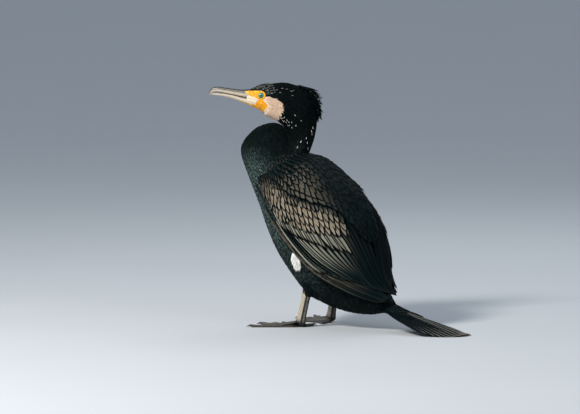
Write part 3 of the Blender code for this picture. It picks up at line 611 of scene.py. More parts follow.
@dataclass(frozen=True)
class Cut:
    """How one kind of feather is cut, as shares of its half width and length."""

    top: tuple[float, ...] = (-1, -0.5, 0, 0.5, 1)
    under: tuple[float, ...] = (0.0,)
    sections: int = 4
    root: float = 0.55  # width left at the root
    swell: float = 0.4  # of the length, over which the width comes
    taper: float = 0.5  # where the tip starts
    power: float = 2.2  # how full the tip is
    point: float = 0.08  # width left at the very tip
    camber: float = 0.20  # drop of the edges
    quill: float = 0.00015  # rise of the shaft
    shaft: float = 0.12  # where that rise ends to either side
    thick: float = 0.00025
    crowd: float = 1.3  # how much closer the sections stand towards the tip

    def shares(self) -> Array:
        """Where the sections stand."""
        return 1 - (1 - np.linspace(0, 1, self.sections)) ** self.crowd

    def widths(self, share: Array) -> Array:
        """The width left at a share of the length.

        Args:
            share: places along it, from 0 at the root to 1 at the tip.

        Returns:
            Shares of the half width.
        """
        narrow = self.root + (1 - self.root) * smooth(0, self.swell, share)
        beyond = np.clip((share - self.taper) / (1 - self.taper), 0, 1)
        return narrow * np.maximum(np.sqrt(np.maximum(1 - beyond**self.power, 0)), self.point)

    def build(
        self, path: Array, normal: Array, wide: Array, lean: Array, tint: Array, seed: Array,
        rim: float = 0.6,
    ) -> Shape:
        """Many feathers, each a thin closed vane.

        Args:
            path: middles of their sections, (n, sections, 3).
            normal: the way out of the body there.
            wide: half width of each.
            lean: rise of the right edge and drop of the left, as a share of the half width.
            tint: three values of each for the finish, or of each section.
            seed: one number of each, from 0 to 1.
            rim: width of their dark margins, in millimetres.

        Returns:
            The feathers as one shape.
        """
        count = len(path)
        share = self.shares()
        ahead = unit(np.gradient(path, axis=1))
        across = unit(np.cross(ahead, normal))
        width = wide[:, None] * self.widths(share)
        ring = np.array([*self.top, *self.under])
        is_top = np.array([True] * len(self.top) + [False] * len(self.under))
        drop = -self.camber * ring**2
        ridge = np.maximum(1 - np.abs(ring) / self.shaft, 0) * self.quill
        rise = np.where(is_top, ridge, -self.thick)
        rise = rise[None, None] + width[..., None] * (drop + lean[:, None, None] * ring)
        side = width[..., None] * ring
        points = path[:, :, None] + across[:, :, None] * side[..., None]
        points = points + normal[:, :, None] * rise[..., None]
        length = np.linalg.norm(np.diff(path, axis=1), axis=2).sum(axis=1)
        shape = (count, len(share), len(ring))
        vane = np.stack(
            [
                np.broadcast_to(share[None, :, None], shape),
                np.broadcast_to(ring, shape),
                np.broadcast_to(width[..., None] / MM, shape),
            ],
            axis=-1,
        )
        size = np.stack([length / MM, seed, np.full(count, rim)], axis=-1)
        if tint.ndim == 2:
            tint = np.repeat(tint[:, None], len(share), axis=1)
        index = np.arange(int(np.prod(shape))).reshape(shape)
        faces = [cells(points, around=True), index[:, 0, ::-1], index[:, -1]]
        each = shape[1] * shape[2]
        values = {
            "vane": vane.reshape(-1, 3),
            "size": np.repeat(size, each, axis=0),
            "tint": np.repeat(tint.reshape(-1, 3), len(ring), axis=0),
        }
        return Shape(points.reshape(-1, 3), faces, values)

    def patches(self, place: Array, size: Array | float) -> Array:
        """OFBake places of the points of each feather, in a small patch round its root's place.

        Args:
            place: the middle of each patch, (n, 2).
            size: how large each patch is.

        Returns:
            A place for every point.
        """
        ring = np.array([*self.top, *self.under])
        share = self.shares()
        grid = np.stack(np.broadcast_arrays(ring[None, :] * 0.5, share[:, None] - 0.5), axis=-1)
        size = np.broadcast_to(np.asarray(size, float), (len(place),))
        patch = place[:, None, None] + grid[None] * size[:, None, None, None]
        return np.clip(patch, *MAP_EDGES).reshape(-1, 2)


# ---- skin


class Surface:
    """A mesh that feathers are laid on: the nearest point of it, and the way out there."""

    KEPT = 0.45  # of the way out from one section, carried on to the next

    def __init__(self, mesh: Mesh) -> None:
        """Reads the faces of a mesh.

        Args:
            mesh: what feathers are laid on.
        """
        shape = bmesh.new()
        shape.from_mesh(mesh)
        self.tree = BVHTree.FromBMesh(shape)
        shape.free()

    def nearest(self, points: Array) -> tuple[Array, Array, Array]:
        """Finds the nearest places on the surface.

        Args:
            points: places in space, in any shape.

        Returns:
            The places found, the way out at each, and how far off each was.
        """
        flat = points.reshape(-1, 3)
        found = np.empty((len(flat), 7))
        find = self.tree.find_nearest
        for i, point in enumerate(flat):
            place, normal, _, distance = find(Vector(point))
            found[i, :3], found[i, 3:6], found[i, 6] = place, normal, distance
        shape = points.shape
        return found[:, :3].reshape(shape), found[:, 3:6].reshape(shape), found[:, 6].reshape(shape[:-1])

    def walk(
        self, root: Array, way: Array, length: Array, heights: Array, shares: Array,
    ) -> tuple[Array, Array, Array]:
        """Paths that run over the surface from their roots.

        Args:
            root: where each starts.
            way: the way that each sets off.
            length: how far each runs.
            heights: height over the surface at each section, (n, sections).
            shares: shares of the length where the sections stand.

        Returns:
            The paths, their normals, and how far each root was from the surface.
        """
        point, normal, gap = self.nearest(root)
        way = laid_flat(way, normal)
        path, normals = [point], [normal]
        for step in np.diff(shares):
            point, fresh, _ = self.nearest(point + way * (length * step)[:, None])
            normal = unit(self.KEPT * normal + (1 - self.KEPT) * fresh)
            way = laid_flat(way, normal)
            path.append(point)
            normals.append(normal)
        path, normals = np.stack(path, axis=1), np.stack(normals, axis=1)
        return path + normals * heights[..., None], normals, gap


@dataclass
class Skin:
    """One skin for the head, neck, trunk, arms and thighs, with the bare face worked into it."""

    voxel: float = 0.0019
    body_inset: float = 0.0026
    neck_inset: float = 0.0021
    head_inset: float = 0.0012
    thigh_inset: float = 0.0024
    rump_inset: float = 0.0012
    face_edge: float = 22.0  # millimetres behind the eye that are worked finely
    face_floor: float = -30.0  # lowest height worked so, in millimetres above the eye
    face_cuts: int = 3
    smoothings: int = 3
    lid_radius: float = 5.7  # millimetres from the middle of the eye
    lid_height: float = 0.75
    lid_skirt: float = 8.6
    beads: int = 26  # small swellings round the eye
    bead_radius: float = 6.3
    gape: Line = ((24, -5.6), (10, -8.8), (0, -11.5), (-8.3, -14.9))
    gape_depth: float = 0.8  # millimetres that the line of the mouth is sunk
    nodes: tuple[str, ...] = ("head", "neck_upper", "neck_lower", "torso", "thigh_left", "thigh_right")

    def body_forms(self) -> list[Shape]:
        """The closed forms that the skin goes round.

        Returns:
            Closed forms that run into one another.
        """
        turns = np.linspace(0, 2 * np.pi, 72, endpoint=False)
        dome = np.linspace(0, 1, 16) ** 2 * TRUNK_LIE.dome
        stations = np.concatenate([dome, np.linspace(0.95, 12, 110)])
        trunk = TRUNK_LIE.at(stations[:, None], turns[None], -self.body_inset)
        stations = np.linspace(0, 10, 110)
        inset = np.interp(stations, (0, 1.5, 4, 10), (self.head_inset,) * 2 + (self.neck_inset,) * 2)
        neck = NECK_LIE.at(stations[:, None], turns[None], -inset[:, None])
        forms = [Shape.tube(trunk), Shape.tube(self.muzzle(neck)), self.rump(turns)]
        for side in (1, -1):
            forms += [self.thigh(side, turns), WingChart(side).core()]
        return [form.turned_out() for form in forms]

    @staticmethod
    def muzzle(rings: Array) -> Array:
        """Rings of the head with a rounded front, so that the skin runs out on the bill.

        Args:
            rings: rings from the front of the head on.

        Returns:
            The same rings, with smaller ones before them.
        """
        middle = rings[0].mean(axis=0)
        front = [middle + (rings[0] - middle) * size + HEAD.ahead * ahead for ahead, size in Face.MUZZLE]
        return np.concatenate([np.array(front), rings])

    def rump(self, turns: Array) -> Shape:
        """The root of the tail under its coverts.

        Args:
            turns: angles round each ring.

        Returns:
            The closed form.
        """
        rings = []
        for distance, wide, deep in TAIL_COVERTS:
            middle = np.array((0, TAIL_ROOT[1] + distance, tail_line(distance) - deep / 4))
            wide, deep = wide - self.rump_inset, max(deep - self.rump_inset, 0.0008)
            ring = LEFT * wide * np.sin(turns)[:, None] + UP * deep * np.cos(turns)[:, None]
            rings.append(middle + ring)
        return Shape.tube(np.array(rings))

    def thigh(self, side: int, turns: Array) -> Shape:
        """The feathered thigh of one side.

        Args:
            side: 1 for the left, -1 for the right.
            turns: angles round each ring.

        Returns:
            The closed form.
        """
        knee, end, _, over, across = thigh_line(side)
        sizes = np.array(THIGH_SIZES)
        share = np.linspace(0, 1, 24)
        size = through(sizes, share * (len(sizes) - 1)) - self.thigh_inset
        middle = knee + (end - knee) * share[:, None]
        ring = across * size[:, None, :1] * np.sin(turns)[None, :, None]
        ring = ring + over * size[:, None, 1:] * np.cos(turns)[None, :, None]
        return Shape.tube(middle[:, None] + ring)

    def build(self) -> Mesh:
        """The skin as a mesh, with the regions of the face as values.

        Returns:
            The mesh, smooth shaded.
        """
        rough = bpy.data.objects.new("rough", Shape.joined(self.body_forms()).mesh("rough"))
        link(rough)
        modifier = rough.modifiers.new("remesh", "REMESH")
        modifier.mode = "VOXEL"
        modifier.voxel_size = self.voxel
        graph = bpy.context.evaluated_depsgraph_get()
        mesh = bpy.data.meshes.new_from_object(rough.evaluated_get(graph))
        bpy.data.objects.remove(rough)
        shape = bmesh.new()
        shape.from_mesh(mesh)
        axes = {"use_axis_x": True, "use_axis_y": True, "use_axis_z": True}
        for _ in range(self.smoothings):
            bmesh.ops.smooth_vert(shape, verts=shape.verts, factor=0.5, **axes)
        points = np.array([v.co for v in shape.verts])
        local = HEAD.local(points)
        near = (local[:, 0] > -self.face_edge) & (local[:, 1] > self.face_floor - 4)
        faces = [f for f in shape.faces if all(near[v.index] for v in f.verts)]
        edges = list({e for f in faces for e in f.edges})
        bmesh.ops.subdivide_edges(shape, edges=edges, cuts=self.face_cuts, use_grid_fill=True)
        shape.to_mesh(mesh)
        shape.free()
        mesh.name = "skin"
        self.work_face(mesh)
        mesh.polygons.foreach_set("use_smooth", np.ones(len(mesh.polygons), bool))
        return mesh

    def work_face(self, mesh: Mesh) -> None:
        """Works lids, the corner of the mouth and wrinkles into the head, and marks its regions.

        Args:
            mesh: the skin, which is changed in place.
        """
        count = len(mesh.vertices)
        points = np.empty(count * 3)
        mesh.vertices.foreach_get("co", points)
        points = points.reshape(-1, 3)
        local = HEAD.local(points)
        head = (local[:, 0] > -self.face_edge - 6) & (local[:, 1] > self.face_floor - 6)
        spots = np.where(head)[0]
        smooth_head = Surface(self.head_form().mesh("head_form"))
        place, normal, _ = smooth_head.nearest(points[spots])
        blend = smooth(-self.face_edge - 6, -self.face_edge, local[spots, 0])[:, None]
        blend = blend * smooth(self.face_floor - 6, self.face_floor, local[spots, 1])[:, None]
        points[spots] += (place - points[spots]) * blend
        local = HEAD.local(points[spots])
        points[spots] += normal * (self.relief(local) * MM)[:, None] * blend
        local = HEAD.local(points[spots])
        out = self.lids(local)
        points[spots] += HEAD.left * ((out - local[:, 2]) * MM)[:, None]
        mesh.vertices.foreach_set("co", points.astype(np.float32).ravel())
        for name, mask in Face.masks(points).items():
            mesh.attributes.new(name, "FLOAT", "POINT").data.foreach_set("value", mask.astype(np.float32))
        mesh.update()

    def head_form(self) -> Shape:
        """The head's own smooth form.

        Returns:
            The closed form.
        """
        turns = np.linspace(0, 2 * np.pi, 128, endpoint=False)
        stations = np.linspace(0, 6, 160)
        inset = np.interp(stations, (0, 1.5, 4), (self.head_inset, self.head_inset, self.neck_inset))
        rings = NECK_LIE.at(stations[:, None], turns[None], -inset[:, None])
        return Shape.tube(self.muzzle(rings)).turned_out()

    def relief(self, local: Array) -> Array:
        """Heights of the face's folds over its smooth form, in millimetres.

        Args:
            local: places in millimetres from the eyes' middle, (n, 3).

        Returns:
            A height for each place.
        """
        ahead, above = local[:, 0], local[:, 1]
        line = np.array(self.gape)
        level = np.interp(-ahead, -line[:, 0], line[:, 1])
        groove = np.exp(-((above - level) / 0.7) ** 2) * smooth(-9.5, -6, ahead)
        lip = np.exp(-((above - level + 1.8) / 0.9) ** 2) * smooth(-9, -5, ahead)
        pouch = smooth(0, 1.5, inside(local[:, :2], Face.POUCH))
        fold = np.sin(ahead * 1.55 + above * 0.75) * 0.16 + np.sin(ahead * 3.1 - above * 1.3) * 0.07
        lores = smooth(0, 1.5, inside(local[:, :2], Face.LORES)) * smooth(7, 9, np.hypot(ahead, above))
        wrinkle = np.sin(ahead * 0.6 + above * 2.6 + np.sin(ahead)) * 0.12
        notch = np.exp(-(((ahead - 24) / 1.6) ** 2) - ((above - 3.1) / 1.0) ** 2) * 0.8
        return pouch * fold + lores * wrinkle + 0.3 * lip - self.gape_depth * groove - notch

    def lids(self, local: Array) -> Array:
        """How far out the skin lies, with the swollen lids round each eye, in millimetres.

        Args:
            local: places in millimetres from the eyes' middle, (n, 3).

        Returns:
            A distance left of the middle of the head for each place.
        """
        out = np.abs(local[:, 2])
        radius = np.hypot(local[:, 0], local[:, 1])
        ball = EYE_OUT / MM + np.sqrt(np.maximum((EYE_RADIUS / MM) ** 2 - radius**2, 4.0))
        swell = np.exp(-((radius - self.lid_radius) / 1.0) ** 2)
        crest = np.maximum(ball + 0.15, out) + self.lid_height * swell
        spin = np.arctan2(local[:, 1], local[:, 0])
        beads = 0.10 * np.sin(spin * self.beads) * np.exp(-((radius - self.bead_radius) / 0.9) ** 2)
        share = smooth(self.lid_skirt, self.lid_radius, radius)
        lidded = out + (crest - out) * share + beads
        sunk = EYE_OUT / MM + 1.5
        lidded = lidded + (sunk - lidded) * smooth(Face.EYE + 0.15, Face.EYE - 0.45, radius)
        return np.where(radius < self.lid_skirt + 1, lidded, out) * np.sign(local[:, 2])


def thigh_line(side: int) -> tuple[Array, ...]:
    """The line of one thigh.

    Args:
        side: 1 for the left, -1 for the right.

    Returns:
        Its two ends, and the ways along, over and across it.
    """
    mirror = np.array((side, 1, 1))
    knee, end = THIGH_TOP * mirror, (TARSUS_HEEL - UP * THIGH_LIFT) * mirror
    ahead = unit(end - knee)
    over = unit(np.cross(LEFT, ahead))
    return knee, end, ahead, over, unit(np.cross(over, ahead))


def tail_line(distance: float | Array) -> float | Array:
    """Height of the lowest tail feathers at a distance behind their root."""
    slope = TAIL_ROOT[2] / (TAIL_LENGTH - TAIL_LEVEL)
    return np.maximum(TAIL_ROOT[2] - slope * distance, 0.0) + TAIL_FLOOR


@dataclass(frozen=True)
class WingChart:
    """The lie of one folded wing, read at a station and a turn in degrees."""

    side: int

    def turn(self, station: Array, degrees: Array) -> Array:
        """The turn round the body in radians; the right wing's is set back over the parting.

        Args:
            station: place along the body, in rows.
            degrees: turn from the middle of the back to the wing's side.

        Returns:
            Turns to the left of the bird.
        """
        if self.side < 0:
            degrees = 2 * along_line(PARTING, station) - degrees
        return np.radians(degrees)

    def at(self, station: Array, degrees: Array, height: Array | float = 0.0) -> tuple[Array, Array]:
        """Points over the wing's lie, and the way out there.

        Args:
            station: place along the body, in rows.
            degrees: turn from the middle of the back to the wing's side.
            height: distance over the lie.

        Returns:
            The points, and a unit vector for each.
        """
        station, degrees = np.broadcast_arrays(np.asarray(station, float), np.asarray(degrees, float))
        turn = self.turn(station, degrees)
        normal = WING_LIE.normal(station, turn)
        point = WING_LIE.at(station, turn)
        return point + normal * np.broadcast_to(height, station.shape)[..., None], normal

    def core(self) -> Shape:
        """The arm and hand under the feathers, rooted in the trunk.

        Returns:
            The closed form.
        """
        share = np.linspace(0, 1, 30)[:, None]
        station = (2.5 + (1 - share) ** 2) + (12.0 - 2.5 - (1 - share) ** 2) * np.linspace(0, 1, 70)
        parting = along_line(PARTING, station)
        degrees = parting + 2 + (along_line(WING_LOW_EDGE, station) - parting - 5) * share
        top, normal = self.at(station, degrees, -CORE_DEPTH)
        bottom = top - normal * along_line(WING_DEPTH, station)[..., None]
        rows = [np.concatenate([t, b[::-1]]) for t, b in zip(top, bottom)]
        return Shape.tube(np.array(rows))


# ---- finishes

Colour = tuple[float, float, float]
Socket = bpy.types.NodeSocket
Input = Socket | float | Colour


class Graph:
    """The nodes of one material, made by short calls."""

    def __init__(self, name: str) -> None:
        """Starts from a plain principled surface.

        Args:
            name: what the material is called.
        """
        self.made = bpy.data.materials.new(name)
        self.made.use_nodes = True
        self.tree = self.made.node_tree
        self.surface = self.tree.nodes["Principled BSDF"]

    def feed(self, socket: Socket, value: Input) -> None:
        """Links a socket, or sets its value.

        Args:
            socket: an input of a node.
            value: another node's output, a number or a colour.
        """
        if isinstance(value, bpy.types.NodeSocket):
            self.tree.links.new(value, socket)
        elif isinstance(value, tuple) and socket.type == "RGBA":
            socket.default_value = (*value, 1.0)
        else:
            socket.default_value = value

    def set(self, **values: Input) -> None:
        """Sets inputs of the surface, named with _ for a space."""
        for key, value in values.items():
            self.feed(self.surface.inputs[key.replace("_", " ")], value)

    def node(self, kind: str, inputs: dict[str | int, Input], **settings: object) -> bpy.types.Node:
        """A node with its settings and inputs.

        Args:
            kind: the type of node.
            inputs: what its inputs take, by name or number.
            **settings: its own choices.

        Returns:
            The node.
        """
        node = self.tree.nodes.new("ShaderNode" + kind)
        for key, value in settings.items():
            setattr(node, key, value)
        for key, value in inputs.items():
            self.feed(node.inputs[key], value)
        return node

    def math(self, operation: str, *values: Input) -> Socket:
        """A sum of one or two values."""
        return self.node("Math", dict(enumerate(values)), operation=operation).outputs[0]

    def plus(self, first: Input, second: Input) -> Socket:
        """The sum of two values."""
        return self.math("ADD", first, second)

    def less(self, first: Input, second: Input) -> Socket:
        """The first value less the second."""
        return self.math("SUBTRACT", first, second)

    def times(self, *values: Input) -> Socket:
        """The product of values.

        Args:
            *values: at least two.

        Returns:
            Their product.
        """
        made = values[0]
        for value in values[1:]:
            made = self.math("MULTIPLY", made, value)
        return made

    def step(self, value: Input, low: float, high: float) -> Socket:
        """A smooth step of a value, from 0 at low to 1 at high.

        Args:
            value: what is read.
            low: where the step starts, which may be the larger.
            high: where it ends.

        Returns:
            The share.
        """
        turn = low > high
        inputs = {0: value, 1: min(low, high), 2: max(low, high), 3: float(turn), 4: float(not turn)}
        return self.node("MapRange", inputs, interpolation_type="SMOOTHSTEP").outputs[0]

    def mix(self, share: Input, first: Input, second: Input) -> Socket:
        """A colour between two."""
        inputs = {0: share, 6: first, 7: second}
        return self.node("Mix", inputs, data_type="RGBA").outputs[2]

    def scaled(self, colour: Input, share: Input) -> Socket:
        """A colour made brighter or darker."""
        return self.node("VectorMath", {0: colour, 3: share}, operation="SCALE").outputs[0]

    def split(self, vector: Input) -> tuple[Socket, Socket, Socket]:
        """The three parts of a vector."""
        return tuple(self.node("SeparateXYZ", {0: vector}).outputs)

    def value(self, name: str) -> Socket:
        """A single value kept at the mesh's points."""
        return self.node("Attribute", {}, attribute_name=name).outputs["Fac"]

    def values(self, name: str) -> tuple[Socket, Socket, Socket]:
        """Three values kept at the mesh's points."""
        return self.split(self.node("Attribute", {}, attribute_name=name).outputs["Vector"])

    def place(self) -> Socket:
        """The place on the piece."""
        return self.node("TexCoord", {}).outputs["Object"]

    def noise(self, scale: float, detail: float = 2.0, roughness: float = 0.5) -> Socket:
        """A cloudy pattern of so many patches to a metre."""
        inputs = {"Vector": self.place(), "Scale": scale, "Detail": detail, "Roughness": roughness}
        return self.node("TexNoise", inputs).outputs[0]

    def pebbles(self, scale: float, feature: str = "F1") -> Socket:
        """Distances in a pattern of cells, so many to a metre."""
        inputs = {"Vector": self.place(), "Scale": scale}
        return self.node("TexVoronoi", inputs, feature=feature).outputs["Distance"]

    def bump(self, height: Socket, depth: float, strength: float = 1.0) -> None:
        """Raises the surface by a height, in metres."""
        inputs = {"Strength": strength, "Distance": depth, "Height": height}
        self.set(Normal=self.node("Bump", inputs).outputs[0])


@dataclass(frozen=True)
class FeatherFinish(Finish):
    """Feathers: a dark gloss painted into the colour as sheen, buff shields with black margins, and white or
    cream plumes.
    """

    name: str
    deep: Colour = (0.0010, 0.0028, 0.0032)
    # painted sheen: the teal of the dark feathers' gloss, mixed into their colour by each feather's tone
    gloss: Colour = (0.1030, 0.1580, 0.1500)
    buff: Colour = (0.225, 0.192, 0.145)
    brown: Colour = (0.130, 0.098, 0.068)
    ash: Colour = (0.205, 0.208, 0.168)
    white: Colour = (0.780, 0.750, 0.680)
    soft_margin: float = 0.8  # millimetres of black round a body feather
    speckle: float = 0.0  # how many of the pale plumes are brown
    roughness: float = 0.48
    specular: float = 0.02
    barbs: float = 5.0  # to a millimetre and turn
    shaft: float = 0.16  # half the width of the shaft, in millimetres
    shaft_tone: float = 0.06
    shaft_colour: Colour = (0.060, 0.048, 0.036)

    def material(self) -> Material:
        """The finish as a material.

        Returns:
            The material, which reads vane, size and tint.
        """
        g = Graph(self.name)
        share, across, wide = g.values("vane")
        length, seed, margin = g.values("size")
        buff, tone, white = g.values("tint")
        off = g.math("ABSOLUTE", across)
        edge = g.times(g.less(1.0, off), wide)
        tip = g.times(g.less(1.0, share), length)
        rim = g.math("MINIMUM", edge, tip)
        fray = g.times(g.less(g.noise(1400, 3), 0.5), 0.55)
        edged = g.math("DIVIDE", g.plus(rim, g.times(fray, margin)), margin)
        shield = g.step(edged, 0.80, 1.20)
        heart = g.step(edged, 1.15, 2.5)
        cloud = g.noise(260, 3, 0.6)
        pale = g.mix(g.times(heart, g.plus(0.45, g.times(seed, 0.5))), self.buff, self.brown)
        pale = g.mix(g.step(tone, 0.5, 1.0), pale, self.ash)
        pale = g.scaled(pale, g.plus(0.55, g.plus(g.times(seed, 0.40), g.times(cloud, 0.5))))
        # Inside each dark margin, the tone mixes in the painted sheen.
        plain = g.mix(g.times(tone, g.step(rim, 0.1, self.soft_margin)), self.deep, self.gloss)
        plain = g.scaled(plain, g.plus(0.30, g.plus(g.times(seed, 0.7), g.times(cloud, 0.7))))
        colour = g.mix(buff, plain, g.mix(shield, self.deep, pale))
        line = g.times(g.step(g.times(off, wide), self.shaft * 1.5, self.shaft * 0.6), self.shaft_tone)
        colour = g.mix(line, colour, self.shaft_colour)
        plume = g.mix(g.times(g.step(seed, 0.70, 0.95), self.speckle), self.white, self.brown)
        plume = g.scaled(plume, g.plus(0.70, g.times(seed, 0.40)))
        colour = g.mix(white, colour, plume)
        along = g.times(share, length)
        slant = g.less(along, g.times(off, wide, 0.8))
        barbs = g.math("SINE", g.times(slant, self.barbs))
        height = g.plus(g.times(barbs, 0.35), g.times(g.noise(3000), 0.6))
        g.bump(height, 0.00012, 0.8)
        dull = g.plus(self.roughness, g.times(g.math("MAXIMUM", buff, white), 0.20))
        g.set(Base_Color=colour, Roughness=g.plus(dull, g.times(cloud, 0.12)))
        g.set(Specular_IOR_Level=self.specular, Specular_Tint=(0.50, 1.0, 1.0))
        return g.made


@dataclass(frozen=True)
class SkinFinish(Finish):
    """Bare skin of the face, and dark down everywhere else."""

    name: str = "skin"
    down: Colour = (0.0010, 0.0028, 0.0032)
    yolk: Colour = (0.720, 0.370, 0.020)
    orange: Colour = (0.640, 0.190, 0.010)
    ring: Colour = (0.740, 0.420, 0.020)
    cream: Colour = (0.600, 0.520, 0.380)
    cheek: Colour = (0.600, 0.410, 0.270)
    white: Colour = (0.680, 0.640, 0.560)
    blush: Colour = (0.360, 0.200, 0.110)

    def material(self) -> Material:
        """The finish as a material.

        Returns:
            The material, which reads the regions of the face.
        """
        g = Graph(self.name)
        cloud = g.noise(300, 4, 0.6)
        spots = g.step(g.noise(900), 0.56, 0.70)
        grain = g.pebbles(1500)
        down = g.scaled(self.down, g.plus(0.6, cloud))
        yolk = g.mix(g.times(g.step(cloud, 0.40, 0.62), 0.85), self.yolk, self.orange)
        cream = g.mix(g.times(spots, 0.45), self.cream, self.blush)
        cheek = g.mix(g.times(spots, 0.55), self.cheek, self.blush)
        ring = g.mix(g.times(g.step(g.pebbles(1100), 0.35, 0.7), 0.5), self.ring, self.orange)
        colour = g.mix(g.value("cheek"), down, cheek)
        colour = g.mix(g.value("gape"), colour, cream)
        colour = g.mix(g.value("yolk"), colour, yolk)
        colour = g.mix(g.value("ring"), colour, ring)
        colour = g.mix(g.times(g.value("fire"), 0.55), colour, self.orange)
        colour = g.mix(g.value("border"), colour, self.white)
        bare = g.math("MAXIMUM", g.value("yolk"), g.value("gape"))
        height = g.plus(g.times(grain, 0.7), g.times(g.noise(700, 3), 0.5))
        g.bump(height, 0.00022, 0.7)
        g.set(Base_Color=colour, Roughness=g.less(0.62, g.times(bare, 0.20)))
        g.set(Subsurface_Weight=0.04, Subsurface_Scale=0.002, Specular_IOR_Level=0.08)
        return g.made


# ---- the small feathers of the body


@dataclass
class Places:
    """Where feathers root: points, ways, sizes, and places on an unwrap of the skin."""

    root: Array
    way: Array
    length: Array
    wide: Array
    tint: Array
    chart: Array

    def kept(self, keep: Array) -> "Places":
        """Only some of the places."""
        return Places(*(getattr(self, name)[keep] for name in self.__dataclass_fields__))

    @classmethod
    def joined(cls, several: Sequence["Places"]) -> "Places":
        """Several lots of places as one."""
        names = cls.__dataclass_fields__
        return cls(*(np.concatenate([getattr(one, name) for one in several]) for name in names))


@dataclass(frozen=True)
class Bed:
    """Rows of small feathers over part of a lie, each row set between the feathers of the last."""

    lie: Lie
    first: float
    last: float
    pitch: Line  # (station, metres)
    length: float = 3.4  # in pitches
    wide: float = 0.62  # half of it, in pitches
    ragged: float = 0.22  # how far they stray, in pitches
    advance: float = 0.86  # from row to row, in pitches
    grow: tuple[float, float] = (0.88, 1.12)  # least and most size
    station_length: float = 0.04  # metres, about

    def places(self, draw: np.random.Generator) -> tuple[Places, Array, Array]:
        """The places of the bed, with their stations and turns.

        Args:
            draw: the run of random numbers.

        Returns:
            The places, their stations and their turns.
        """
        stations, turns, sizes = [], [], []
        station, row = self.first, 0
        ring = np.linspace(0, 2 * np.pi, 49)
        while station < self.last:
            pitch = float(along_line(self.pitch, station))
            outline = self.lie.at(station, ring)
            girth = reached(outline)
            count = max(int(girth[-1] / pitch), 5)
            share = (np.arange(count) + 0.5 * (row % 2)) / count
            share = (share + draw.normal(0, self.ragged * 0.5, count) / count) % 1
            turns.append(np.interp(share * girth[-1], girth, ring))
            stations.append(np.full(count, station))
            sizes.append(np.full(count, pitch))
            rate = float(self.lie.rate(np.array(station), ring[:-1]).max())
            station += pitch * self.advance / max(rate, 1e-4)
            row += 1
        station = np.concatenate(stations)
        turn, pitch = np.concatenate(turns), np.concatenate(sizes)
        stray = draw.normal(0, self.ragged, len(station)) * pitch / self.station_length * 0.5
        station = station + stray
        station = np.clip(station, 0.001, len(self.lie.rows) - 1.02)
        root = self.lie.at(station, turn)
        way = unit(self.lie.at(station + 0.02, turn) - root)
        grow = draw.uniform(*self.grow, len(root))
        tint = np.zeros((len(root), 3))
        chart = np.stack([(turn / (2 * np.pi)) % 1, station / (len(self.lie.rows) - 1)], axis=1)
        made = Places(root, way, pitch * self.length * grow, pitch * self.wide * grow, tint, chart)
        return made, station, turn


